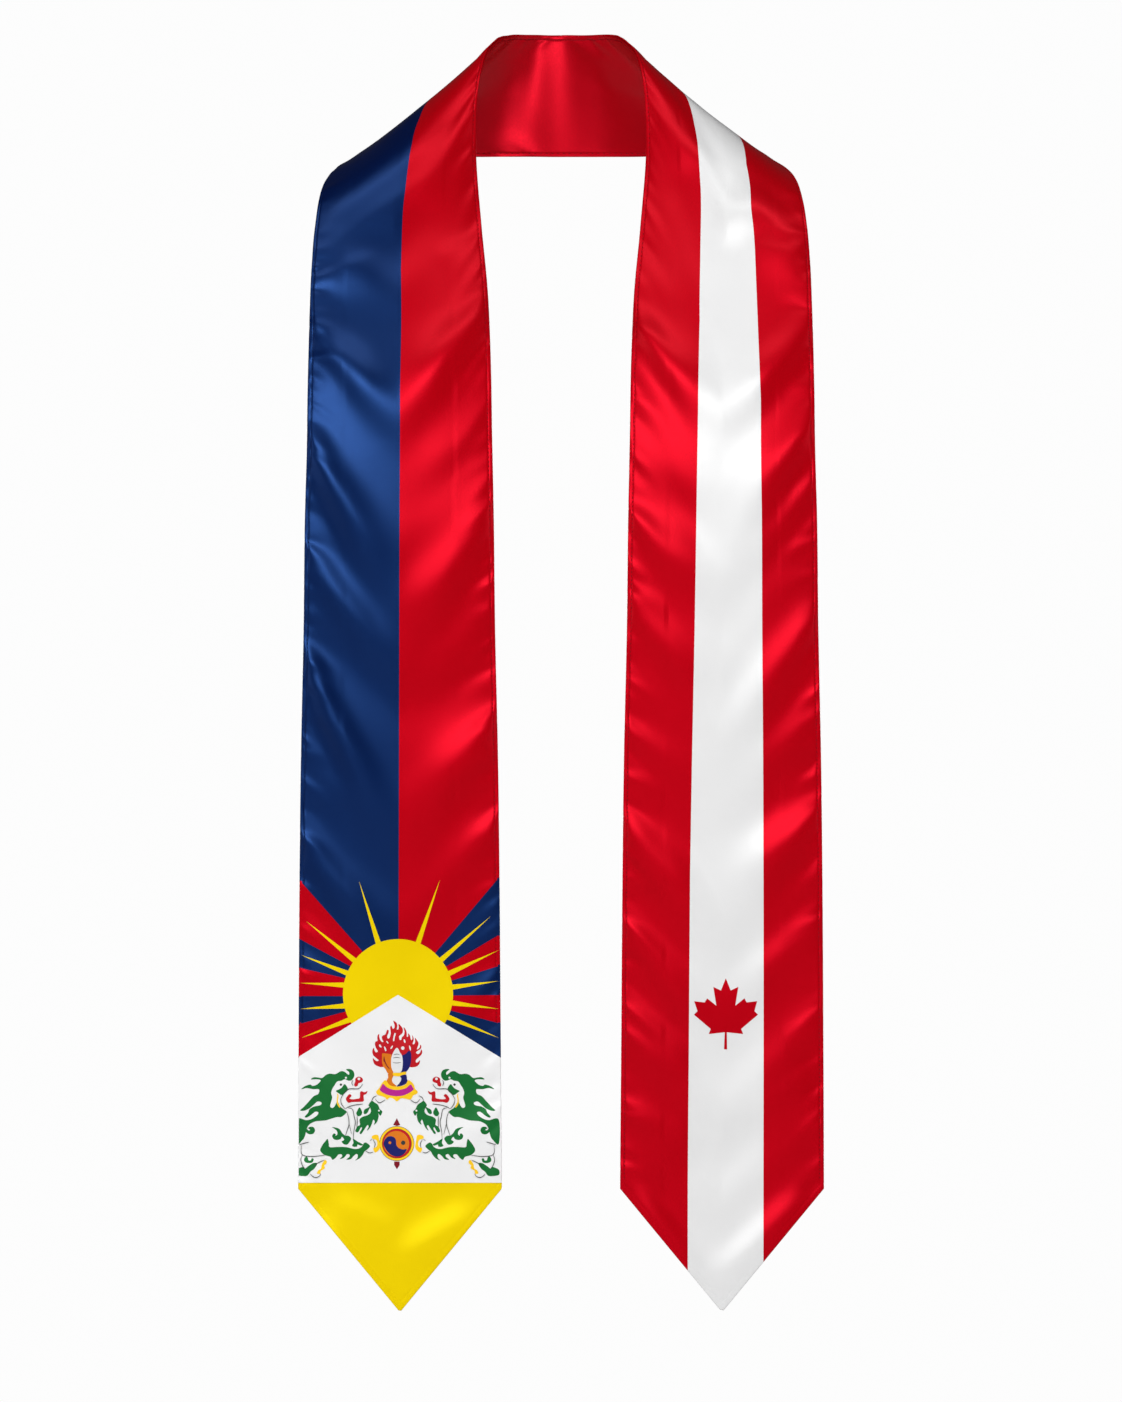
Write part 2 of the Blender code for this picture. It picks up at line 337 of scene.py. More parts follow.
FAN_POWER = 0.45          # how fast a fold opens and falls from its pucker
PUCKERED = 0.30           # a fold's breadth at its pucker, as a share of its full breadth
FOLD_TILT = 0.75          # share of a fold's tilt that it is built with
STEEPEST = 0.858          # steepest slope of a bell curve of height and breadth 1
RIM_POWER = 8             # how late swags and streaks fade towards the long edges
SWAG_SPREAD = 1.85        # a swag's breadth at the middle, over its stated breadth
SWAG_NARROWING = 0.50     # share of its breadth that it has lost at its edge
SWAG_SHIFT = 0.7          # its crest's place below its line, in breadths
SWAG_MIDDLE = 0.55        # its height at the middle, as a share of that at its edge
SWAG_FADE = 0.45          # where it begins to fade, as a share of the way to the middle
SWAG_FADE_LENGTH = 0.85   # how long it takes to fade, in the same share
STREAK_LOWER = 2.2        # breadth of a streak's lower face, over that of its upper face
STREAK_ENDS = 4           # how late a streak fades towards its ends
STREAK_FADE = 30 * MM     # distance in front of the nape over which the streaks appear
NECK_FOLD_TOP = 0.6       # a neck fold's breadth at the upper edge, over its stated breadth
NECK_FOLD_OPENING = 0.6   # how much of it is added down to the lower edge
WAVES = 8
WAVE_SLOPE = 0.014
WAVE_FADE = 60 * MM       # distance from the back seam over which the waves appear
PUCKER_DEPTH = 26 * MM    # how far from an edge the small puckers reach
PUCKER_OPENING = 8 * MM   # distance over which a small pucker doubles its breadth
PUCKER_FADE = 20 * MM     # distance from the back seam over which they appear
FRONT_ROWS = 400          # rows of the table that turns a height in front into a station


@dataclass(frozen=True)
class Cut:
    """Driving sizes of the stole, in metres."""

    spread: float
    strap_drop: float
    strap_width: float = 0.127
    point_drop: float = 0.077
    neck_width: float = 0.106
    neck_height: float = 0.0755
    chest_depth: float = 0.152
    wall: float = 0.001
    layer_gap: float = 0.0003
    seam_gap: float = 0.0003

    @classmethod
    def from_box(cls, low: Vector, high: Vector) -> "Cut":
        """Sizes that follow the solids.

        Args:
            low: Lowest corner of the solids.
            high: Highest corner of the solids.

        Returns:
            The sizes, with the spread and drop of the solids.
        """
        return cls(spread=high.x - low.x, strap_drop=-low.z - cls.point_drop)


class ClothForm:
    """The folded cloth of both halves, as a function of place on the cloth.

    A place is a station, the distance from the back seam along the middle of the cloth, and across,
    which runs from 0 at the neck edge to 1 at the arm edge.
    """

    def __init__(self, cut: Cut) -> None:
        """Works out the sections from the sizes.

        Args:
            cut: Sizes of the stole.
        """
        self.cut = cut
        self.half_stack = cut.wall + cut.layer_gap / 2
        neck, arm = self._edges()
        self.edges = np.concatenate([neck, arm], axis=1)
        self.bows = np.array([s.bow * cut.strap_width for s in SHOULDER_SECTIONS + HANGING_SECTIONS])
        steps = np.linalg.norm(np.diff((neck + arm) / 2, axis=0), axis=1)
        self.stations = np.concatenate([[0.0], np.cumsum(steps)])
        self.corner = float(self.stations[-2])
        self.chest = float(self.stations[len(SHOULDER_SECTIONS) - 1])
        mirror = np.array([-1, 1, 1, -1, 1, 1])
        self.edge_slopes = self._slopes(self.edges, self.edges[1] * mirror)
        self.bow_slopes = self._slopes(self.bows[:, None], self.bows[1:2])

    def _edges(self) -> tuple[np.ndarray, np.ndarray]:
        """Neck edge and arm edge of every section of the right half.

        Returns:
            Neck edge points and arm edge points.
        """
        cut = self.cut
        neck = [(s.neck_x * cut.neck_width / 2, self.half_stack - s.neck_fore * cut.chest_depth,
                 s.neck_up * cut.neck_height) for s in SHOULDER_SECTIONS]
        arm = [(s.arm_x * cut.spread / 2, self.half_stack - s.arm_fore * cut.chest_depth,
                s.arm_up * cut.neck_height) for s in SHOULDER_SECTIONS]
        top = (neck[-1][2] + arm[-1][2]) / 2
        for s in HANGING_SECTIONS:
            z = top - s.level * (cut.strap_drop + top) - s.below * cut.point_drop
            y = self.half_stack - s.fore * cut.chest_depth
            outer = s.arm_x * cut.spread / 2
            neck.append((outer - s.width * cut.strap_width, y, z))
            arm.append((outer, y, z))
        return np.array(neck), np.array(arm)

    def _slopes(self, values: np.ndarray, before: np.ndarray) -> np.ndarray:
        """Direction of a smooth curve at each section.

        Args:
            values: One row for each section.
            before: The row on the other side of the back seam, as far from it as the second.

        Returns:
            One row for each section.
        """
        ahead = np.diff(self.stations)[:, None]
        rise = np.diff(values, axis=0) / ahead
        slopes = np.empty_like(values)
        slopes[1:-1] = (rise[1:] * ahead[:-1] + rise[:-1] * ahead[1:]) / (ahead[:-1] + ahead[1:])
        slopes[0] = (values[1] - before) / (2 * self.stations[1])
        slopes[-1] = rise[-1]
        return slopes

    def _smooth(self, values: np.ndarray, slopes: np.ndarray, station: np.ndarray) -> np.ndarray:
        """Values at some stations, on the smooth curve through the sections.

        Args:
            values: One row for each section.
            slopes: The curve's direction at each section.
            station: Stations, in one row.

        Returns:
            One row for each station.
        """
        k = np.clip(np.searchsorted(self.stations, station) - 1, 0, len(self.stations) - 2)
        length = (self.stations[k + 1] - self.stations[k])[:, None]
        t = (station[:, None] - self.stations[k][:, None]) / length
        start = values[k] * (2 * t**3 - 3 * t**2 + 1) + slopes[k] * (t**3 - 2 * t**2 + t) * length
        end = values[k + 1] * (3 * t**2 - 2 * t**3) + slopes[k + 1] * (t**3 - t**2) * length
        return start + end

    def _rows(self, station: np.ndarray) -> tuple[np.ndarray, np.ndarray]:
        """Neck edge and arm edge at stations on both sides of the seam.

        Args:
            station: Stations, negative on the other side of the back seam.

        Returns:
            Neck edge points and arm edge points.
        """
        both = self._smooth(self.edges, self.edge_slopes, np.abs(station))
        turn = np.where(station < 0, -1.0, 1.0)
        both[:, 0] *= turn
        both[:, 3] *= turn
        return both[:, :3], both[:, 3:]

    def plain(self, station: np.ndarray, across: np.ndarray) -> tuple[np.ndarray, np.ndarray]:
        """Points and outward directions of the right half's flat cloth.

        Args:
            station: Stations of the points.
            across: Their places across.

        Returns:
            Points and unit normals.
        """
        step = self.cut.wall
        neck, arm = self._rows(station)
        point = neck + (arm - neck) * across[:, None]
        neck_b, arm_b = self._rows(station - step)
        neck_a, arm_a = self._rows(station + step)
        along = (neck_a - neck_b) * (1 - across[:, None]) + (arm_a - arm_b) * across[:, None]
        normal = np.cross(along, arm - neck)
        return point, normal / np.linalg.norm(normal, axis=1)[:, None]

    def folds(self, side: Side, point: np.ndarray, across: np.ndarray, station: np.ndarray) -> np.ndarray:
        """Outward rise of all folds together.

        Args:
            side: Half of the stole.
            point: Points of the flat cloth.
            across: Their places across.
            station: Their stations.

        Returns:
            The rise at each point.
        """
        cut = self.cut
        rise = np.zeros(len(point))
        for fold in LEFT_FOLDS if side is Side.LEFT else RIGHT_FOLDS:
            reached = (across if fold.edge is Edge.NECK else 1 - across) / fold.reach
            near = reached < 1
            opened = reached[near] ** FAN_POWER
            ridge = -fold.level * cut.strap_drop - fold.sag * cut.strap_width * opened
            breadth = fold.breadth * cut.strap_width * (PUCKERED + (1 - PUCKERED) * opened)
            height = FOLD_TILT * fold.tilt / STEEPEST * breadth * (1 - reached[near]) ** 2
            rise[near] += height * np.exp(-((point[near, 2] - ridge) / breadth) ** 2)
        rise += self._swags(side, point, across)
        rise += self._streaks(side, point, across)
        rise += self._waves(side, station, across)
        rise += self._puckers(side, station, across)
        band = np.maximum(1 - station / cut.neck_width, 0)
        for neck_fold in NECK_FOLDS:
            middle = (neck_fold.top + (neck_fold.bottom - neck_fold.top) * across) * cut.neck_width / 2
            breadth = neck_fold.breadth * cut.neck_height * (NECK_FOLD_TOP + NECK_FOLD_OPENING * across)
            away = (-side.value * point[:, 0] - middle) / breadth
            rise += neck_fold.rise * cut.neck_height * band * np.exp(-away**2)
        return rise

    def _swags(self, side: Side, point: np.ndarray, across: np.ndarray) -> np.ndarray:
        """Outward rise of the broad folds that hang from the edges to the middle.

        Args:
            side: Half of the stole.
            point: Points of the flat cloth.
            across: Their places across.

        Returns:
            The rise at each point.
        """
        rise = np.zeros(len(point))
        rim = 1 - np.abs(2 * across - 1) ** RIM_POWER
        for swag in LEFT_SWAGS if side is Side.LEFT else RIGHT_SWAGS:
            reached = 2 * (across if swag.edge is Edge.NECK else 1 - across)
            nearness = np.clip(1 - reached, 0, 1)
            ridge = (ORIGIN_PIXEL - swag.end + (swag.end - swag.start) * nearness**swag.curve) * PIXEL
            breadth = SWAG_SPREAD * swag.breadth * self.cut.strap_width * (1 - SWAG_NARROWING * nearness)
            ridge = ridge - SWAG_SHIFT * breadth
            past = np.clip((reached - SWAG_FADE) / SWAG_FADE_LENGTH, 0, 1)
            height = swag.tilt / STEEPEST * breadth * (SWAG_MIDDLE + (1 - SWAG_MIDDLE) * nearness) * rim
            height *= 1 - past * past * (3 - 2 * past)
            rise += height * np.exp(-((point[:, 2] - ridge) / breadth) ** 2)
        return rise

    def _streaks(self, side: Side, point: np.ndarray, across: np.ndarray) -> np.ndarray:
        """Outward rise of the straight folds of the shoulders and strap ends.

        Args:
            side: Half of the stole.
            point: Points of the flat cloth.
            across: Their places across.

        Returns:
            The rise at each point.
        """
        pixel_x = point[:, 0] * side.value / PIXEL + MIDDLE_PIXEL
        front = np.stack([pixel_x, ORIGIN_PIXEL - point[:, 2] / PIXEL], axis=1)
        rise = np.zeros(len(point))
        facing = np.clip(-point[:, 1] / STREAK_FADE, 0, 1) * (1 - np.abs(2 * across - 1) ** RIM_POWER)
        for streak in LEFT_STREAKS if side is Side.LEFT else RIGHT_STREAKS:
            start, end = np.array(streak.start), np.array(streak.end)
            length = np.linalg.norm(end - start)
            along = (end - start) / length
            shift = front - (start + end) / 2
            lengthwise = shift @ along / (length * 0.5)
            sideways = shift @ np.array([-along[1], along[0]]) / streak.breadth
            below = sideways * np.sign(along[0]) > 0
            sideways = np.where(below, sideways / STREAK_LOWER, sideways)
            height = streak.tilt / STEEPEST * streak.breadth * PIXEL
            rise += height * np.exp(-sideways**2 - np.abs(lengthwise) ** STREAK_ENDS) * facing
        return rise

    def _waves(self, side: Side, station: np.ndarray, across: np.ndarray) -> np.ndarray:
        """Slight unevenness of the whole cloth, from a few long waves.

        Args:
            side: Half of the stole.
            station: Stations of the points.
            across: Their places across.

        Returns:
            The rise at each point.
        """
        chance = np.random.RandomState(11 + side.value)
        rise = np.zeros(len(station))
        away = np.abs(across - 0.5) * self.cut.strap_width
        for _ in range(WAVES):
            length = chance.uniform(40, 95) * MM
            lean = chance.uniform(0.3, 1.2)
            start = chance.uniform(0, 2 * math.pi)
            skew = chance.uniform(-0.5, 0.5) * self.cut.strap_width
            wave = np.sin(2 * math.pi * (station + lean * away + skew * across) / length + start)
            rise += WAVE_SLOPE * length / (2 * math.pi) * wave
        return rise * np.clip(station / WAVE_FADE, 0, 1)

    def _puckers(self, side: Side, station: np.ndarray, across: np.ndarray) -> np.ndarray:
        """Small puckers that the topstitching draws in both edges.

        Args:
            side: Half of the stole.
            station: Stations of the points.
            across: Their places across.

        Returns:
            The rise at each point.
        """
        chance = np.random.RandomState(31 + side.value)
        rise = np.zeros(len(station))
        for from_edge in (across * self.cut.strap_width, (1 - across) * self.cut.strap_width):
            near = from_edge < PUCKER_DEPTH
            gap, here = from_edge[near], station[near]
            found = np.zeros(len(here))
            at = 10 * MM
            while at < self.corner:
                breadth = chance.uniform(1.6, 3.4) * MM
                reach = chance.uniform(3.5, 8.0) * MM
                height = chance.uniform(0.25, 0.80) * MM * chance.choice([-1, 1, 1])
                lean = chance.uniform(0.3, 1.0)
                ridge = (here - at - lean * gap) / (breadth * (1 + gap / PUCKER_OPENING))
                found += height * gap / reach * np.exp(1 - gap / reach - ridge**2)
                at += chance.uniform(8, 21) * MM
            rise[near] += found
        return rise * np.clip(station / PUCKER_FADE, 0, 1)

    def place(self, side: Side, station: np.ndarray, across: np.ndarray,
              lift: np.ndarray) -> tuple[np.ndarray, np.ndarray]:
        """Points and outward directions of the folded cloth on one side.

        Args:
            side: Half of the stole.
            station: Stations of the points.
            across: Their places across.
            lift: Their height over the middle of the two layers.

        Returns:
            Points and unit normals.
        """
        point, normal = self.plain(station, across)
        bow = self._smooth(self.bows[:, None], self.bow_slopes, station)[:, 0] * 4 * across * (1 - across)
        rise = bow + self.folds(side, point, across, station) + lift
        point = point + normal * rise[:, None]
        turn = np.array([side.value, 1, 1])
        return point * turn, normal * turn

    def place_signed(self, station: np.ndarray, across: np.ndarray,
                     lift: np.ndarray) -> tuple[np.ndarray, np.ndarray]:
        """Points and outward directions on both sides at once.

        Args:
            station: Stations, negative on the left half.
            across: Places across.
            lift: Heights over the middle of the two layers.

        Returns:
            Points and unit normals.
        """
        point = np.empty((len(station), 3))
        normal = np.empty_like(point)
        for side in Side:
            here = (station < 0) if side is Side.LEFT else (station >= 0)
            if here.any():
                away = np.abs(station[here])
                point[here], normal[here] = self.place(side, away, across[here], lift[here])
        return point, normal

    def width(self, station: np.ndarray) -> np.ndarray:
        """Width of the cloth at some stations."""
        neck, arm = self._rows(station)
        return np.linalg.norm(arm - neck, axis=1)

    def from_front(self, side: Side, x: np.ndarray, z: np.ndarray) -> tuple[np.ndarray, np.ndarray]:
        """Place on a hanging strap from its place in the front view.

        Args:
            side: Half of the stole.
            x: Distances to the right of the centre plane.
            z: Heights over the origin.

        Returns:
            Stations and places across.
        """
        table = np.linspace(self.chest, self.stations[-1], FRONT_ROWS)
        neck, arm = self._rows(table)
        middle = (neck[:, 2] + arm[:, 2]) / 2
        station = np.interp(-z, -middle, table)
        neck, arm = self._rows(station)
        return station, (x * side.value - neck[:, 0]) / (arm[:, 0] - neck[:, 0])

    def end(self, across: np.ndarray) -> np.ndarray:
        """Station of the pointed end at places across."""
        return self.corner + self.cut.point_drop * (1 - np.abs(2 * across - 1))


class Socket:
    """One output of a shader node, with arithmetic that adds Math nodes."""

    def __init__(self, graph: "Graph", output: bpy.types.NodeSocket) -> None:
        """Wraps an output.

        Args:
            graph: Graph that the output belongs to.
            output: The output.
        """
        self.graph = graph
        self.output = output

    def __add__(self, other: "Socket | float") -> "Socket":
        """Sum."""
        return self.graph.math("ADD", self, other)

    def __radd__(self, other: float) -> "Socket":
        """Sum."""
        return self.graph.math("ADD", other, self)

    def __sub__(self, other: "Socket | float") -> "Socket":
        """Difference."""
        return self.graph.math("SUBTRACT", self, other)

    def __rsub__(self, other: float) -> "Socket":
        """Difference."""
        return self.graph.math("SUBTRACT", other, self)

    def __mul__(self, other: "Socket | float") -> "Socket":
        """Product."""
        return self.graph.math("MULTIPLY", self, other)

    def __rmul__(self, other: float) -> "Socket":
        """Product."""
        return self.graph.math("MULTIPLY", other, self)


class Graph:
    """Node tree of one material or world, and the one way to add a node to it."""

    def __init__(self, owner: "bpy.types.Material | bpy.types.World") -> None:
        """Opens a node tree.

        Args:
            owner: Material or world whose nodes are added to.
        """
        owner.use_nodes = True
        self.tree = owner.node_tree
        self.shader = self.tree.nodes.get("Principled BSDF")

    def node(self, kind: str, settings: Optional[dict] = None, inputs: Optional[dict] = None,
             output: int | str = 0) -> Socket:
        """Adds a node.

        Args:
            kind: Node type.
            settings: Properties of the node.
            inputs: Values or sockets, by the name or number of the input.
            output: Name or number of the output to return.

        Returns:
            The named output.
        """
        added = self.tree.nodes.new(kind)
        for name, value in (settings or {}).items():
            setattr(added, name, value)
        for name, value in (inputs or {}).items():
            self.feed(added.inputs[name], value)
        return Socket(self, added.outputs[output])

    def feed(self, target: bpy.types.NodeSocket, value: "Socket | float | Sequence[float]") -> None:
        """Links a socket to an input, or sets the input's value.

        Args:
            target: The input.
            value: Socket or value for it.
        """
        if isinstance(value, Socket):
            self.tree.links.new(value.output, target)
        else:
            target.default_value = value

    def math(self, operation: str, first: "Socket | float", second: "Socket | float") -> Socket:
        """Adds a Math node."""
        return self.node("ShaderNodeMath", {"operation": operation}, {0: first, 1: second})

    def mix(self, share: "Socket | float", first: Sequence[float], second: Sequence[float]) -> Socket:
        """Adds a Mix node between two colours."""
        return self.node("ShaderNodeMix", {"data_type": "RGBA"}, {0: share, 6: first, 7: second}, output=2)


SATIN_IOR = 2.0
COAT_ROUGHNESS = 0.28
TONE_SCALE = 22.0         # broad unevenness of tone, per metre
THREAD_SCALE = 900.0      # grain of the weave, per metre
THREAD_ROUGHNESS = 0.10   # how far the weave changes the roughness
THREAD_DEPTH = 0.1 * MM
INK_SHINE = 0.15


@dataclass(frozen=True)
class Satin:
    """Finish of printed satin in one colour; uneven is how far its tone strays, as a share."""

    name: str
    color: tuple[float, float, float]
    shine: tuple[float, float, float] = (1.0, 1.0, 1.0)
    gloss: float = 0.25
    coat: float = 0.0
    roughness: float = 0.35
    weave: float = 0.20
    uneven: float = 0.04

    def make(self) -> bpy.types.Material:
        """Builds the material.

        Returns:
            The material, with a fine weave and a faint unevenness of tone.
        """
        material = bpy.data.materials.new(self.name)
        graph = Graph(material)
        shader = graph.shader
        shader.inputs["IOR"].default_value = SATIN_IOR
        shader.inputs["Coat Weight"].default_value = self.coat
        shader.inputs["Coat Roughness"].default_value = COAT_ROUGHNESS
        shader.inputs["Specular IOR Level"].default_value = self.gloss
        shader.inputs["Specular Tint"].default_value = (*self.shine, 1)
        place = graph.node("ShaderNodeTexCoord", output="Object")
        broad = graph.node("ShaderNodeTexNoise", None,
                           {"Vector": place, "Scale": TONE_SCALE, "Detail": 2.0})
        dim = tuple(c * (1 - 2 * self.uneven) for c in self.color)
        bright = tuple(min(c * (1 + 2 * self.uneven), 1.0) for c in self.color)
        graph.feed(shader.inputs["Base Color"], graph.mix(broad, (*dim, 1), (*bright, 1)))
        threads = graph.node("ShaderNodeTexNoise", None,
                             {"Vector": place, "Scale": THREAD_SCALE, "Detail": 1.0})
        graph.feed(shader.inputs["Roughness"], (threads - 0.5) * THREAD_ROUGHNESS + self.roughness)
        bump = graph.node("ShaderNodeBump", None,
                          {"Strength": self.weave, "Distance": THREAD_DEPTH, "Height": threads})
        graph.feed(shader.inputs["Normal"], bump)
        return material


@dataclass(frozen=True)
class Ink:
    """Finish of a printed figure or a thread: one plain colour with a faint gloss."""

    name: str
    color: tuple[float, float, float]
    roughness: float = 0.38
    metallic: float = 0.2

    def make(self) -> bpy.types.Material:
        """Builds the material.

        Returns:
            The material, without a pattern.
        """
        material = bpy.data.materials.new(self.name)
        shader = Graph(material).shader
        shader.inputs["Base Color"].default_value = (*self.color, 1)
        shader.inputs["Roughness"].default_value = self.roughness
        shader.inputs["Metallic"].default_value = self.metallic
        shader.inputs["Specular IOR Level"].default_value = INK_SHINE
        return material


BLUE = Satin("blue_satin", (0.0001, 0.0033, 0.033), (0.065, 0.240, 0.85), gloss=0.30, coat=0.028)
RED = Satin("red_satin", (0.358, 0.0000, 0.003), (1.0, 0.007, 0.034), gloss=0.54, coat=0.018)
WHITE = Satin("white_satin", (0.672, 0.672, 0.674), gloss=0.23, uneven=0.01)
MOUNTAIN = Satin("mountain_satin", (0.735, 0.735, 0.738), gloss=0.26, uneven=0.01)
YELLOW = Satin("yellow_satin", (0.735, 0.525, 0.001), (1.0, 0.92, 0.02), gloss=0.28, uneven=0.02)
# The lining is the panels' red satin made darker, with more gloss; the darkening paints the shade on the
# face inside the neck band.
LINING_RED_PAINTED_SHADE = Satin("lining_satin", (0.255, 0.0000, 0.002), (1.0, 0.008, 0.034), gloss=0.84, coat=0.014)

GREEN = Ink("green_ink", (0.004, 0.130, 0.024))
FLAME_RED = Ink("flame_ink", (0.450, 0.004, 0.010))
GOLD = Ink("gold_ink", (0.850, 0.520, 0.010))
ORANGE = Ink("orange_ink", (0.620, 0.160, 0.006))
MAGENTA = Ink("magenta_ink", (0.420, 0.012, 0.230))
NAVY = Ink("navy_ink", (0.006, 0.008, 0.110))
MAROON = Ink("maroon_ink", (0.180, 0.003, 0.012))
OUTLINE = Ink("outline_ink", (0.030, 0.035, 0.030))
# Thread colours: the threads' own navy and red, made darker than the cloth they sit on, which paints the
# shade along the stitch lines.
NAVY_THREAD_PAINTED_SHADE = Ink("navy_thread", (0.002, 0.010, 0.060), roughness=0.5)
RED_THREAD_PAINTED_SHADE = Ink("red_thread", (0.230, 0.001, 0.007), roughness=0.5)


def new_object(name: str, points: np.ndarray, faces: Sequence[Sequence[int]],
               finishes: Sequence[bpy.types.Material],
               zones: Optional[np.ndarray] = None) -> bpy.types.Object:
    """Makes a smooth mesh object at the origin.

    Args:
        name: Object name.
        points: Vertex positions.
        faces: Vertex numbers of each face.
        finishes: Materials.
        zones: Number of each face's material, or None for the first throughout.

    Returns:
        The object.
    """
    mesh = bpy.data.meshes.new(name)
    mesh.from_pydata(points.tolist(), [], [list(f) for f in faces])
    for finish in finishes:
        mesh.materials.append(finish)
    mesh.polygons.foreach_set("use_smooth", [True] * len(mesh.polygons))
    if zones is not None:
        mesh.polygons.foreach_set("material_index", zones.astype(int).tolist())
    mesh.update()
    made = bpy.data.objects.new(name, mesh)
    bpy.context.scene.collection.objects.link(made)
    return made


class Strip(NamedTuple):
    """Rectangular studio light.

    height is its angle over the level and turn its angle to the right of the camera, in degrees. wide
    and tall are its sizes, and glow its brightness.
    """

    name: str
    height: float
    turn: float
    wide: float
    tall: float
    glow: float


STRIPS = (
    Strip("key", 20, -12, 3.3, 0.9, 15),
    Strip("key_glow", 19, -8, 3.6, 2.2, 3.5),
    Strip("left_side", 5, -60, 2.0, 4.0, 2.3),
    Strip("right_side", 5, 60, 2.0, 4.0, 2.3),
    Strip("top", 58, 0, 4.8, 0.8, 9.5),
    Strip("back_left", 0, 204, 2.6, 1.0, 8),
    Strip("back_right", 0, 156, 2.6, 1.0, 8),
)


@dataclass
class Stage:
    """Pale floor, camera at the photo's viewing angle and soft studio light."""

    middle_z: float = -0.3764
    frame_height: float = 0.8729
    floor_z: float = -1.0
    camera_distance: float = 3.0
    light_distance: float = 6.0
    cloth_glow: float = 0.05
    neck_light: tuple[float, float, float] = (0.16, -0.60, -0.53)
    neck_light_size: float = 0.10
    neck_light_energy: float = 1.30

    def build(self) -> None:
        """Adds the floor, world, camera and lights."""
        self._floor()
        self._world()
        self._camera()
        for strip in STRIPS:
            self._strip(strip)
        self._band_light()

    def _floor(self) -> None:
        """Pale floor, below the picture."""
        bpy.ops.mesh.primitive_plane_add(size=12, location=(0, 0, self.floor_z))
        floor = bpy.context.object
        floor.name = "floor"
        pale = bpy.data.materials.new("pale_floor")
        Graph(pale).shader.inputs["Base Color"].default_value = (0.9, 0.9, 0.9, 1)
        floor.data.materials.append(pale)
        floor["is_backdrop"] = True

    def _world(self) -> None:
        """Near-white surroundings to the camera, and a dimmer glow on the cloth."""
        world = bpy.data.worlds.new("studio")
        bpy.context.scene.world = world
        graph = Graph(world)
        shown = graph.tree.nodes["Background"]
        shown.inputs["Color"].default_value = (0.98, 0.98, 0.98, 1)
        glow = graph.node("ShaderNodeBackground", None,
                          {"Color": (1.0, 1.0, 1.0, 1), "Strength": self.cloth_glow})
        seen = graph.node("ShaderNodeLightPath", output="Is Camera Ray")
        mixed = graph.node("ShaderNodeMixShader", None,
                           {0: seen, 1: glow, 2: Socket(graph, shown.outputs[0])})
        graph.feed(graph.tree.nodes["World Output"].inputs[0], mixed)

    def _camera(self) -> None:
        """Level camera straight in front, without perspective."""
        bpy.ops.object.camera_add(location=(0, -self.camera_distance, self.middle_z),
                                  rotation=(math.pi / 2, 0, 0))
        camera = bpy.context.object
        camera.name = "camera"
        camera.data.type = "ORTHO"
        camera.data.ortho_scale = self.frame_height
        camera.data.clip_end = 20
        bpy.context.scene.camera = camera
        bpy.context.scene.view_settings.view_transform = "Standard"

    def _light(self, name: str, place: Vector, facing: Vector) -> bpy.types.Object:
        """Adds an area light that the camera doesn't see.

        Args:
            name: Object name.
            place: Its place.
            facing: Direction that it shines in.

        Returns:
            The light.
        """
        turn = facing.to_track_quat("-Z", "Y").to_euler()
        bpy.ops.object.light_add(type="AREA", location=place, rotation=turn)
        light = bpy.context.object
        light.name = name
        light.visible_camera = False
        return light

    def _strip(self, strip: Strip) -> None:
        """Adds a rectangular light that faces the middle of the picture.

        Args:
            strip: The light.
        """
        up, side = math.radians(strip.height), math.radians(strip.turn)
        away = Vector((math.sin(side) * math.cos(up), -math.cos(side) * math.cos(up), math.sin(up)))
        middle = Vector((0, 0, self.middle_z))
        light = self._light(strip.name, middle + self.light_distance * away, -away)
        light.data.shape = "RECTANGLE"
        light.data.size = strip.wide
        light.data.size_y = strip.tall
        light.data.energy = strip.glow * math.pi * strip.wide * strip.tall

    def _band_light(self) -> None:
        """Light from below in front that reaches only the lining, for its face inside the neck."""
        place = Vector(self.neck_light)
        light = self._light("neck_light", place, -place)
        light.data.size = self.neck_light_size
        light.data.energy = self.neck_light_energy
        light.data.use_shadow = False
        reached = bpy.data.collections.new("lit_inside_neck")
        for piece in bpy.data.objects:
            if piece.name.startswith("satin_lining"):
                reached.objects.link(piece)
        light.light_linking.receiver_collection = reached


NEAR_EDGE = (0.0, 0.06, 0.25, 0.5, 1.0, 1.6, 2.1, 2.4, 2.6, 2.8, 3.1, 3.7, 4.6, 6.0, 8.0, 10.5, 13.0)
NEAR_POINT = (0.0, 0.06, 0.25, 0.5, 1.2, 2.2, 2.9, 3.3, 3.55, 3.8, 4.05, 4.4, 5.2)
SEAM_ROWS = 6             # rows close together beside the back seam, at the distances of NEAR_EDGE
STITCH_LINE = 2.6 * MM    # topstitching, from the edge
STITCH_DIP = 0.18 * MM    # how far the topstitching draws the cloth in
STITCH_DIP_BREADTH = 0.42 * MM
STITCH_FADE = 3 * MM      # distance over which that dip ends at the corner
TURNED_EDGE = 3.7 * MM    # inner edge of the turning along the points, from the edge
TURNED_DIP = 0.10 * MM
TURNED_DIP_BREADTH = 0.35 * MM
CORNER_MARGIN = 3.7 * MM  # from the last straight row to the corner
POINT_LENGTH = 80 * MM    # about the length of the cloth from the last straight row to its tip
POINT_SLANT = 0.636       # distance from a point's slanting edge, over the distance along the cloth
SET_IN_FROM = 0.14        # station from which the lining is narrower than the panels
SET_IN_OVER = 0.05        # distance over which it becomes so
SET_IN_POINT = 1.5        # how far its points are set in, over its edges


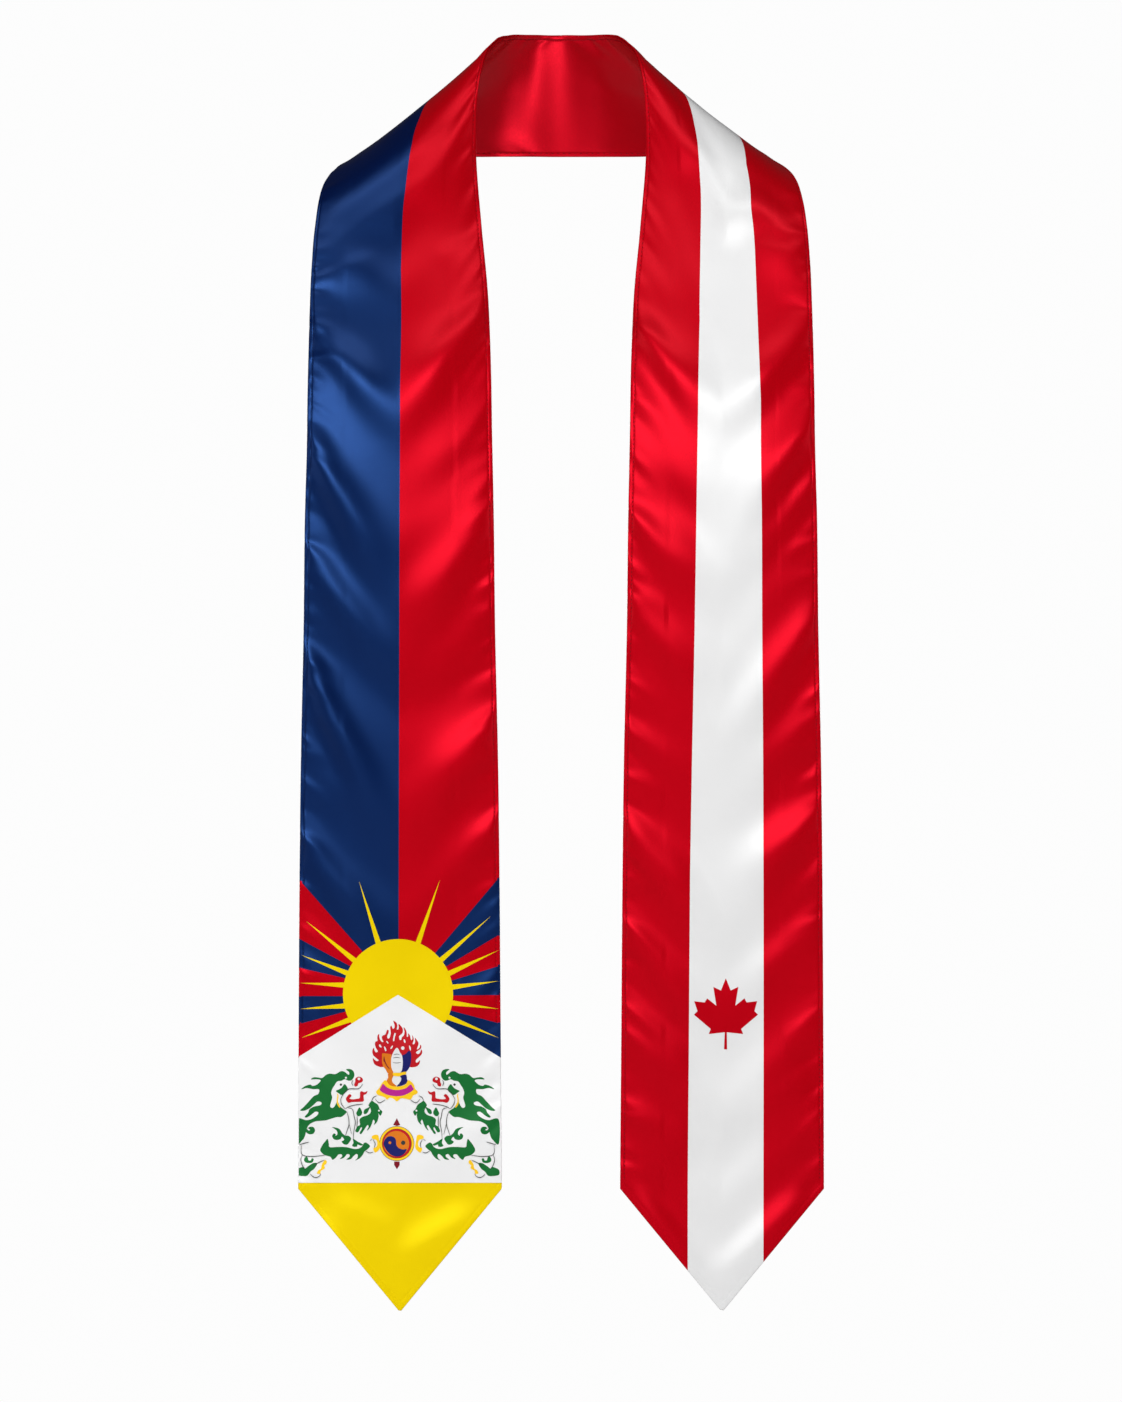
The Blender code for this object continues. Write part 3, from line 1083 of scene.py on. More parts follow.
@dataclass
class ClothSheet:
    """One layer of cloth with rounded edges, as a closed mesh."""

    name: str
    form: ClothForm
    face: Face
    sides: tuple[Side, ...]
    borders: Callable[[np.ndarray], np.ndarray]
    zone: Callable[[np.ndarray, np.ndarray], np.ndarray]
    finishes: tuple[Satin, ...]
    row_step: float = 2.0 * MM
    middle_columns: int = 9
    set_in: float = 0.0

    def _half_rows(self) -> np.ndarray:
        """Stations of the straight rows, from the seam to the corners.

        Returns:
            The stations.
        """
        form = self.form
        near = np.array([0.0])
        if len(self.sides) == 1:
            near = form.cut.seam_gap / 2 + np.array(NEAR_EDGE[:SEAM_ROWS]) * MM
        count = int((form.corner - near[-1]) / self.row_step)
        along = np.linspace(near[-1], form.corner - CORNER_MARGIN, count)[1:]
        return np.concatenate([near, along])

    def _grid(self) -> tuple[np.ndarray, np.ndarray]:
        """Grid of one half, from the seam to the point.

        Returns:
            Stations and places across of the rows and columns.
        """
        form = self.form
        level = self._half_rows()
        bend_rows = int(POINT_LENGTH / self.row_step)
        far = 1 - np.array(NEAR_POINT)[::-1] * MM / POINT_SLANT / POINT_LENGTH
        share = np.concatenate([np.linspace(0, far[0], bend_rows)[1:-1], far])
        columns = self._columns(level, form.width(level))
        station = np.repeat(level[:, None], columns.shape[1], axis=1)
        last = columns[-1]
        tail = level[-1] + (form.end(last) - level[-1])[None, :] * share[:, None]
        columns = np.concatenate([columns, np.repeat(last[None, :], len(share), axis=0)])
        return np.concatenate([station, tail]), columns

    def _columns(self, level: np.ndarray, width: np.ndarray) -> np.ndarray:
        """Places across of the columns in each row, with columns along the stripe borders.

        Args:
            level: Station of each row.
            width: Cloth width at each row.

        Returns:
            One row of places for each level.
        """
        near = np.array(NEAR_EDGE) * MM / width[:, None]
        stops = np.concatenate([near[:, -1:], self.borders(level), 1 - near[:, -1:]], axis=1)
        share = np.linspace(0, 1, self.middle_columns + 1)[:-1]
        parts = [near[:, :-1]]
        for k in range(stops.shape[1] - 1):
            parts.append(stops[:, k:k + 1] + (stops[:, k + 1:k + 2] - stops[:, k:k + 1]) * share)
        parts.append(1 - near[:, ::-1])
        return np.concatenate(parts, axis=1)

    def _from_edge(self, station: np.ndarray, across: np.ndarray, width: np.ndarray) -> np.ndarray:
        """Distance of each place from the nearest edge of the sheet.

        Args:
            station: Stations of the places.
            across: Their places across.
            width: Cloth width at each.

        Returns:
            The distances.
        """
        away = np.abs(station)
        gap = np.minimum(across, 1 - across) * width
        gap = np.minimum(gap, (self.form.end(across) - away) * POINT_SLANT)
        if len(self.sides) == 1:
            gap = np.minimum(gap, away - self.form.cut.seam_gap / 2)
        return np.maximum(gap, 0)

    def build(self) -> bpy.types.Object:
        """Builds the sheet.

        Returns:
            Its object.
        """
        station, across = self._grid()
        if self.sides == (Side.LEFT,):
            station, across = -station[::-1], across[::-1]
        elif len(self.sides) == 2:
            station = np.concatenate([-station[:0:-1], station])
            across = np.concatenate([across[:0:-1], across])
        rows, columns = station.shape
        outer, hidden = self._faces(station.ravel(), across.ravel())
        number = np.arange(rows * columns).reshape(rows, columns)
        inside = np.zeros((rows, columns), dtype=bool)
        inside[1:-1, 1:-1] = True
        back = number.copy()
        back[inside] = rows * columns + np.arange(inside.sum())
        points = np.concatenate([outer, hidden[inside.ravel()]])
        front_faces = self._quads(number)
        back_faces = self._quads(back)[:, ::-1]
        if self.face is Face.INNER:
            front_faces, back_faces = front_faces[:, ::-1], back_faces[:, ::-1]
        centre_s = (station[:-1, :-1] + station[1:, 1:]).ravel() / 2
        centre_a = (across[:-1, :-1] + across[1:, 1:]).ravel() / 2
        zones = self.zone(centre_s, centre_a)
        faces = np.concatenate([front_faces, back_faces])
        made = [finish.make() for finish in self.finishes]
        return new_object(self.name, points, faces, made, np.concatenate([zones, zones]))

    def _faces(self, station: np.ndarray, across: np.ndarray) -> tuple[np.ndarray, np.ndarray]:
        """Points of the face that shows and of the hidden one, which meet in rounded edges.

        Args:
            station: Stations of the grid's places.
            across: Their places across.

        Returns:
            Points that show, and hidden points.
        """
        form = self.form
        inset = self.set_in * np.clip((np.abs(station) - SET_IN_FROM) / SET_IN_OVER, 0, 1)
        across = 0.5 + (across - 0.5) * (1 - 2 * inset / form.width(np.abs(station)))
        station = station * (1 - inset * SET_IN_POINT / form.stations[-1])
        width = form.width(np.abs(station))
        half = form.cut.wall / 2
        gap = self._from_edge(station, across, width)
        round_off = np.sqrt(1 - (1 - np.clip(gap / half, 0, 1)) ** 2)
        seam = np.minimum(across, 1 - across) * width
        stitched = np.clip((form.corner - np.abs(station)) / STITCH_FADE, 0, 1)
        dip = STITCH_DIP * stitched * np.exp(-((seam - STITCH_LINE) / STITCH_DIP_BREADTH) ** 2)
        turned = (form.end(across) - np.abs(station)) * POINT_SLANT
        dip += TURNED_DIP * (1 - stitched) * np.exp(-((turned - TURNED_EDGE) / TURNED_DIP_BREADTH) ** 2)
        show = self.face.value
        middle = show * (form.cut.layer_gap / 2 + half)
        outer, _ = form.place_signed(station, across, middle + show * (half * round_off - dip))
        hidden, _ = form.place_signed(station, across, middle - show * half * round_off)
        return outer, hidden

    def _quads(self, number: np.ndarray) -> np.ndarray:
        """Faces of a grid of vertices, turned to look along the outward direction."""
        corners = [number[:-1, :-1], number[1:, :-1], number[1:, 1:], number[:-1, 1:]]
        return np.stack(corners, axis=-1).reshape(-1, 4)


def left_borders(level: np.ndarray) -> np.ndarray:
    """Place of the blue and red border of the left half, by station."""
    place = np.interp(level, [0.0, 0.118, 0.14, 0.162, 0.183, 0.203, 0.24, 0.32, 0.9],
                      [0.42, 0.408, 0.395, 0.405, 0.430, 0.449, 0.474, 0.497, 0.51])
    return place[:, None]


def right_borders(level: np.ndarray) -> np.ndarray:
    """Places of the white stripe's borders on the right half.

    Args:
        level: Stations.

    Returns:
        The first and second border at each station.
    """
    first = np.interp(level, [0.0, 0.12, 0.155, 0.18, 0.205, 0.277, 0.33, 0.62, 0.9],
                      [0.34, 0.335, 0.316, 0.331, 0.340, 0.368, 0.368, 0.338, 0.329])
    second = np.interp(level, [0.0, 0.115, 0.154, 0.187, 0.215, 0.265, 0.321, 0.9],
                       [0.70, 0.70, 0.640, 0.650, 0.667, 0.690, 0.708, 0.702])
    return np.stack([first, second], axis=1)


def lining_borders(level: np.ndarray) -> np.ndarray:
    """Middle of the lining, which has no stripes."""
    return np.full((len(level), 1), 0.5)


class Board(NamedTuple):
    """Sheet that a figure is drawn on: its top left corner in picture pixels, and units per pixel."""

    left: float
    top: float
    units: float


PICTURE = Board(0.0, 0.0, 1.0)
LION_BOARD = Board(295.0, 1062.0, 12.857)
FLAME_BOARD = Board(360.0, 1015.0, 17.425)
WHEEL_BOARD = Board(360.0, 1110.0, 19.6)
LEAF_BOARD = Board(610.0, 920.0, 3.92)
RAY_HALF_WIDTH = 2.4      # of a ray of the sun, in pixels
RAY_FLARE = 1.15          # how much wider it is at its foot
RAY_INSET = 4             # how far its foot lies inside the sun, in pixels
PRINT_AXIS = 397.7        # the left strap's print is mirrored about this pixel column
LINE_LAYER = 9            # layer of the drawn lines over the cloth
LINE_END = 0.45           # breadth of a drawn line at its ends, over that in its middle
SHARP_ANGLE = 40          # edges of the films sharper than this stay sharp, in degrees
INSIDE_CLEAR = 0.45       # least distance of a film's inner points from its outline, in steps
CHUNK = 64                # outline points that are compared at once


class Patch(NamedTuple):
    """Closed figure in one ink; points on its board, and its layer over the cloth."""

    ink: "Ink | Satin"
    layer: int
    points: tuple[tuple[float, float], ...]
    smooth: bool = True


def on_picture(board: Board, points: Sequence[tuple[float, float]]) -> np.ndarray:
    """Points of a board, in metres in the front view."""
    drawn = np.array(points, dtype=float) / board.units + np.array([board.left, board.top])
    return np.stack([(drawn[:, 0] - MIDDLE_PIXEL) * PIXEL, (ORIGIN_PIXEL - drawn[:, 1]) * PIXEL], axis=1)


def disc(x: float, y: float, radius: float, count: int = 48) -> tuple[tuple[float, float], ...]:
    """Points round a circle."""
    turns = [2 * math.pi * k / count for k in range(count)]
    return tuple((x + radius * math.cos(t), y + radius * math.sin(t)) for t in turns)


def ray(base: tuple[float, float], tip: tuple[float, float]) -> tuple[tuple[float, float], ...]:
    """Points of a sun ray, which starts a little inside the sun.

    Args:
        base: Where it leaves the sun, in picture pixels.
        tip: Its tip.

    Returns:
        Its three corners.
    """
    start, end = Vector(base), Vector(tip)
    along = (end - start).normalized()
    sideways = Vector((-along.y, along.x)) * RAY_HALF_WIDTH
    start = start - RAY_INSET * along
    return tuple(tuple(p) for p in (start + sideways * RAY_FLARE, end, start - sideways * RAY_FLARE))


@dataclass
class Print:
    """Printed figures on one strap: a thin closed film for each ink."""

    name: str
    form: ClothForm
    side: Side
    step: float = 1.3 * MM
    film: float = 0.09 * MM
    sunk: float = 0.30 * MM
    margin: float = 0.45 * MM
    end_margin: float = 0.72 * MM
    pieces: dict["Ink | Satin", tuple[list, list]] = field(default_factory=dict)

    def add(self, board: Board, patch: Patch, mirrored: bool = False) -> None:
        """Lays one figure on the cloth.

        Args:
            board: Board that the figure is drawn on.
            patch: The figure.
            mirrored: Whether it is turned over about the print's axis.
        """
        outline = on_picture(board, patch.points)
        if mirrored:
            outline[:, 0] = 2 * (PRINT_AXIS - MIDDLE_PIXEL) * PIXEL - outline[:, 0]
        outline = self._curve(outline) if patch.smooth else self._divide(outline)
        station, across = self.form.from_front(self.side, outline[:, 0], outline[:, 1])
        rim = self.margin / self.form.width(station)
        across = np.clip(across, rim, 1 - rim)
        station = np.minimum(station, self.form.end(across) - self.end_margin)
        self._film(patch, station, across)

    def stroke(self, board: Board, points: Sequence[tuple[float, float]], breadth: float,
               mirrored: bool = False) -> None:
        """Lays one drawn line on the cloth, thinner towards its ends.

        Args:
            board: Board that the line is drawn on.
            points: Points along the line.
            breadth: Its breadth in the middle.
            mirrored: Whether it is turned over about the print's axis.
        """
        line = on_picture(board, points)
        ahead = np.gradient(line, axis=0)
        ahead /= np.linalg.norm(ahead, axis=1)[:, None]
        sideways = np.stack([-ahead[:, 1], ahead[:, 0]], axis=1)
        share = np.linspace(0, 1, len(line))
        girth = breadth / 2 * (LINE_END + (1 - LINE_END) * np.sin(math.pi * share))[:, None]
        both = np.concatenate([line + sideways * girth, (line - sideways * girth)[::-1]])
        middle, drop = MIDDLE_PIXEL * PIXEL, ORIGIN_PIXEL * PIXEL
        drawn = np.stack([(both[:, 0] + middle) / PIXEL, (drop - both[:, 1]) / PIXEL], axis=1)
        self.add(PICTURE, Patch(OUTLINE, LINE_LAYER, tuple(map(tuple, drawn))), mirrored)

    def _divide(self, outline: np.ndarray) -> np.ndarray:
        """Closed polygon with extra points on its sides.

        Args:
            outline: Its corners.

        Returns:
            Corners and extra points, in order.
        """
        ahead = np.roll(outline, -1, axis=0)
        found = []
        for start, end in zip(outline, ahead):
            count = max(int(np.linalg.norm(end - start) / self.step + 0.5), 1)
            found.extend(start + (end - start) * k / count for k in range(count))
        return np.array(found)

    def _curve(self, outline: np.ndarray) -> np.ndarray:
        """Closed smooth curve through some points.

        Args:
            outline: The points.

        Returns:
            Points along the curve.
        """
        found = []
        count = len(outline)
        for k in range(count):
            p0, p1, p2, p3 = (outline[(k + i - 1) % count] for i in range(4))
            parts = max(int(np.linalg.norm(p2 - p1) / (self.step * 0.5) + 0.5), 2)
            for i in range(parts):
                t = i / parts
                found.append(0.5 * (2 * p1 + (p2 - p0) * t + (2 * p0 - 5 * p1 + 4 * p2 - p3) * t**2
                                    + (3 * p1 - p0 - 3 * p2 + p3) * t**3))
        return np.array(found)

    def _film(self, patch: Patch, station: np.ndarray, across: np.ndarray) -> None:
        """Adds the closed film of one figure to its ink's mesh.

        Args:
            patch: The figure.
            station: Stations of its outline.
            across: Places across of its outline.
        """
        scale = self.form.cut.strap_width
        flat = np.stack([across * scale, station], axis=1)
        inner = self._inside(flat)
        every = [Vector(p) for p in np.concatenate([flat, inner])]
        found = geometry.delaunay_2d_cdt(every, [], [list(range(len(flat)))], 1, 1e-7)
        spots = np.array([tuple(v) for v in found[0]])
        tris = np.array(found[2])
        if len(tris) == 0:
            return
        corner = spots[tris]
        turn = np.cross(corner[:, 1] - corner[:, 0], corner[:, 2] - corner[:, 0])
        outward = turn * self.side.value < 0
        tris[~outward] = tris[~outward][:, ::-1]
        sides = np.concatenate([tris[:, [0, 1]], tris[:, [1, 2]], tris[:, [2, 0]]])
        known = {tuple(e) for e in sides.tolist()}
        rim = [e for e in sides.tolist() if (e[1], e[0]) not in known]
        place_s = spots[:, 1] * self.side.value
        place_a = spots[:, 0] / scale
        top = self.form.cut.layer_gap / 2 + self.form.cut.wall + self.film * patch.layer
        upper, _ = self.form.place_signed(place_s, place_a, np.full(len(spots), top))
        lower, _ = self.form.place_signed(place_s, place_a, np.full(len(spots), top - self.sunk))
        points, faces = self.pieces.setdefault(patch.ink, ([], []))
        base = len(points)
        count = len(spots)
        points.extend(upper.tolist())
        points.extend(lower.tolist())
        faces.extend([[base + i for i in t] for t in tris.tolist()])
        faces.extend([[base + count + i for i in reversed(t)] for t in tris.tolist()])
        faces.extend([[base + b, base + a, base + count + a, base + count + b] for a, b in rim])

    def _inside(self, outline: np.ndarray) -> np.ndarray:
        """Grid points well inside a closed outline.

        Args:
            outline: Points of the outline, in metres.

        Returns:
            The grid points.
        """
        low, high = outline.min(axis=0), outline.max(axis=0)
        xs = np.arange(low[0] + self.step / 2, high[0], self.step)
        ys = np.arange(low[1] + self.step / 2, high[1], self.step)
        if len(xs) == 0 or len(ys) == 0:
            return np.empty((0, 2))
        grid = np.stack(np.meshgrid(xs, ys), axis=-1).reshape(-1, 2)
        grid = grid[inside_outline(outline, grid)]
        if len(grid) == 0:
            return grid
        away = np.full(len(grid), np.inf)
        for k in range(0, len(outline), CHUNK):
            gaps = np.linalg.norm(grid[:, None] - outline[None, k:k + CHUNK], axis=2)
            away = np.minimum(away, gaps.min(axis=1))
        return grid[away > self.step * INSIDE_CLEAR]

    def build(self) -> list[bpy.types.Object]:
        """Makes one object for each ink.

        Returns:
            The objects.
        """
        made = []
        for ink, (points, faces) in self.pieces.items():
            name = f"{self.name}_{ink.name.split('_')[0]}"
            piece = new_object(name, np.array(points), faces, [ink.make()])
            bpy.ops.object.select_all(action="DESELECT")
            piece.select_set(True)
            bpy.context.view_layer.objects.active = piece
            bpy.ops.object.shade_smooth_by_angle(angle=math.radians(SHARP_ANGLE))
            made.append(piece)
        return made


def inside_outline(outline: np.ndarray, spots: np.ndarray) -> np.ndarray:
    """Tells which spots a closed outline holds.

    Args:
        outline: Corners of the outline.
        spots: Points to be tested.

    Returns:
        A truth value for each spot.
    """
    held = np.zeros(len(spots), dtype=bool)
    for (x0, y0), (x1, y1) in zip(outline, np.roll(outline, -1, axis=0)):
        crosses = (y0 > spots[:, 1]) != (y1 > spots[:, 1])
        if crosses.any() and y0 != y1:
            x = x0 + (spots[:, 1] - y0) * (x1 - x0) / (y1 - y0)
            held ^= crosses & (spots[:, 0] < x)
    return held


RAYS = (
    ((378, 942), (359, 881)), ((354, 960), (306, 921)), ((347, 973), (301, 955)),
    ((343, 985), (300, 983)), ((343, 1006), (300, 1009)), ((347.5, 1020.5), (301, 1038)),
    ((418, 943), (440, 879.5)), ((441, 960), (491, 916)), ((450, 973), (499, 950)),
    ((453, 987), (499, 981)), ((453, 1003), (499, 1009)), ((450.5, 1018), (499, 1038)),
)

GROUND = (
    Patch(RED, 1, ((372, 966), (362, 951), (298, 878.5), (298, 938), (350, 966)), False),
    Patch(RED, 1, ((360, 982), (344, 978), (298, 967.5), (298, 996), (343, 996), (360, 996)), False),
    Patch(RED, 1, ((360, 1006), (344, 1012), (298, 1024.5), (298, 1058), (380, 1020)), False),
    Patch(BLUE, 1, ((426, 966), (436, 952), (502, 874), (502, 933), (447, 966)), False),
    Patch(BLUE, 1, ((437, 984), (453, 980), (502, 965), (502, 995), (453, 995.5), (437, 996)), False),
    Patch(BLUE, 1, ((437, 1007), (453, 1011), (502, 1024), (502, 1060), (415, 1020)), False),
    *(Patch(YELLOW, 2, ray(base, tip), False) for base, tip in RAYS),
    Patch(YELLOW, 3, disc(398.0, 994.1, 55.1, 96), False),
    Patch(MOUNTAIN, 4, ((398, 994.8), (502, 1058.5), (502, 1182.8), (296, 1182.8), (296, 1058.5)), False),
)

LION = (
    Patch(GREEN, 5, (
        (655, 96), (700, 90), (742, 108), (763, 150), (757, 195), (725, 235), (685, 240), (640, 222),
        (600, 240), (545, 250), (508, 300), (480, 345), (465, 400), (478, 455), (462, 520), (452, 570),
        (478, 592), (505, 575), (530, 530), (545, 500), (575, 560), (600, 590), (650, 625), (662, 650),
        (600, 705), (540, 708), (470, 728), (400, 750), (330, 757), (260, 765), (190, 800), (155, 850),
        (140, 905), (125, 960), (100, 1000), (20, 1050), (20, 745), (150, 748), (220, 730), (285, 685),
        (300, 648), (260, 640), (210, 678), (150, 715), (125, 703), (170, 650), (185, 610), (240, 575),
        (325, 555), (340, 522), (290, 508), (235, 555), (180, 600), (110, 628), (66, 622), (110, 580),
        (180, 505), (240, 440), (300, 410), (308, 352), (230, 350), (150, 335), (80, 350), (130, 310),
        (200, 290), (222, 308), (280, 292), (330, 238), (280, 222), (205, 224), (240, 197), (300, 200),
        (350, 205), (400, 165), (450, 150), (520, 155), (590, 118), (640, 128), (690, 165), (695, 130))),
    Patch(GREEN, 5, (
        (525, 372), (560, 355), (600, 330), (640, 285), (680, 350), (642, 400), (600, 425), (560, 402))),
    Patch(GREEN, 5, (
        (140, 880), (165, 850), (200, 832), (240, 840), (257, 880), (235, 922), (185, 930), (145, 905))),
    Patch(WHITE, 6, ((165, 850), (180, 862), (195, 872), (178, 880), (160, 868))),
    Patch(WHITE, 6, disc(655, 203, 13, 14)),
    Patch(OUTLINE, 6, disc(590, 291, 15, 14)),
    Patch(FLAME_RED, 6, (
        (775, 215), (800, 195), (835, 190), (868, 212), (872, 245), (845, 265), (815, 275), (805, 305),
        (772, 315), (760, 290), (775, 250))),
    Patch(WHITE, 7, disc(822, 217, 17, 14)),
    Patch(FLAME_RED, 6, (
        (662, 500), (655, 470), (680, 430), (705, 412), (728, 435), (700, 470), (745, 480), (800, 472),
        (832, 462), (838, 385), (862, 378), (895, 390), (932, 372), (915, 412), (882, 428), (885, 498),
        (850, 512), (740, 515), (690, 525))),
    Patch(GREEN, 6, ((795, 640), (830, 585), (865, 650), (842, 690), (808, 696), (788, 665))),
    Patch(GREEN, 6, ((882, 660), (892, 615), (935, 590), (972, 572), (950, 612), (932, 650), (905, 670))),
    Patch(GREEN, 6, (
        (945, 555), (985, 500), (1022, 520), (1065, 550), (1092, 608), (1122, 632), (1116, 662),
        (1096, 692), (1072, 660), (1075, 700), (1055, 770), (1015, 806), (1026, 770), (1006, 742),
        (986, 800), (960, 850), (925, 882), (946, 830), (930, 812), (890, 870), (850, 926), (830, 912),
        (860, 860), (850, 838), (810, 902), (775, 890), (800, 830), (835, 808), (830, 740), (870, 705),
        (940, 680), (976, 640), (966, 590))),
    Patch(WHITE, 7, disc(1080, 626, 12, 12)),
    Patch(GREEN, 5, (
        (420, 990), (435, 1050), (448, 1095), (560, 1092), (660, 1095), (760, 1118), (820, 1112),
        (862, 1085), (880, 1050), (905, 1035), (930, 1045), (965, 1082), (930, 1125), (895, 1150),
        (870, 1195), (830, 1240), (770, 1268), (800, 1238), (808, 1200), (790, 1182), (750, 1212),
        (715, 1250), (660, 1255), (698, 1222), (703, 1195), (670, 1185), (630, 1230), (575, 1248),
        (605, 1217), (600, 1190), (560, 1190), (520, 1235), (480, 1258), (455, 1220), (375, 1195),
        (325, 1140), (345, 1080), (385, 1025))),
    Patch(GREEN, 5, (
        (475, 838), (530, 845), (575, 865), (608, 915), (645, 945), (690, 950), (722, 985), (700, 1030),
        (670, 1062), (630, 1058), (598, 1025), (632, 1000), (605, 962), (585, 990), (540, 1003),
        (495, 990), (478, 950), (500, 918), (525, 930), (520, 950), (545, 930), (540, 890), (510, 860))),
    Patch(GREEN, 5, (
        (745, 985), (800, 1020), (872, 1060), (850, 1076), (802, 1062), (800, 1085), (760, 1092),
        (733, 1075), (752, 1040))),
    Patch(GREEN, 5, (
        (115, 1262), (125, 1230), (150, 1210), (165, 1232), (175, 1265), (205, 1265), (213, 1240),
        (240, 1245), (225, 1290), (180, 1300), (135, 1290))),
    Patch(GREEN, 5, (
        (20, 1385), (100, 1350), (125, 1372), (170, 1340), (235, 1300), (285, 1305), (250, 1370),
        (200, 1410), (160, 1460), (110, 1468), (20, 1450))),
    Patch(GOLD, 6, (
        (385, 1260), (410, 1280), (400, 1312), (375, 1330), (385, 1365), (352, 1388), (330, 1402),
        (325, 1438), (283, 1432), (300, 1392), (335, 1370), (345, 1318))),
    Patch(GOLD, 6, (
        (985, 965), (1012, 940), (1068, 942), (1085, 1012), (1096, 1090), (1078, 1132), (1030, 1165),
        (1006, 1112), (1048, 1090), (1058, 1040), (1040, 1000), (1000, 990))),
    Patch(GOLD, 6, (
        (540, 400), (560, 430), (552, 480), (556, 525), (575, 560), (580, 588), (560, 575), (536, 525),
        (538, 470), (545, 430))),
)

LION_LINES = (
    ((650, 600), (690, 575), (760, 555), (830, 545), (870, 540)),
    ((585, 480), (610, 430), (660, 370), (700, 345), (800, 345), (838, 328), (870, 285)),
    ((585, 480), (600, 545), (640, 598)),
    ((742, 235), (730, 270), (745, 305)),
    ((665, 640), (690, 720), (692, 810), (670, 880), (650, 940)),
    ((690, 590), (740, 610), (760, 700), (775, 780), (755, 900), (750, 985)),
    ((700, 810), (725, 920)),
    ((798, 700), (800, 780), (795, 840)),
    ((985, 500), (1010, 455), (1048, 435)),
    ((1035, 480), (1085, 525), (1155, 488)),
    ((80, 1080), (92, 1190), (220, 1215), (365, 1200)),
    ((92, 1200), (75, 1250), (90, 1320), (125, 1372)),
    ((60, 1062), (120, 1045), (175, 1030)),
    ((370, 1262), (300, 1295), (240, 1330)),
    ((198, 1442), (225, 1470), (265, 1487), (310, 1470), (330, 1440)),
    ((965, 1012), (990, 990)),
    ((910, 1145), (958, 1170), (1000, 1158)),
    ((1005, 1000), (1030, 1050), (1020, 1100)),
)

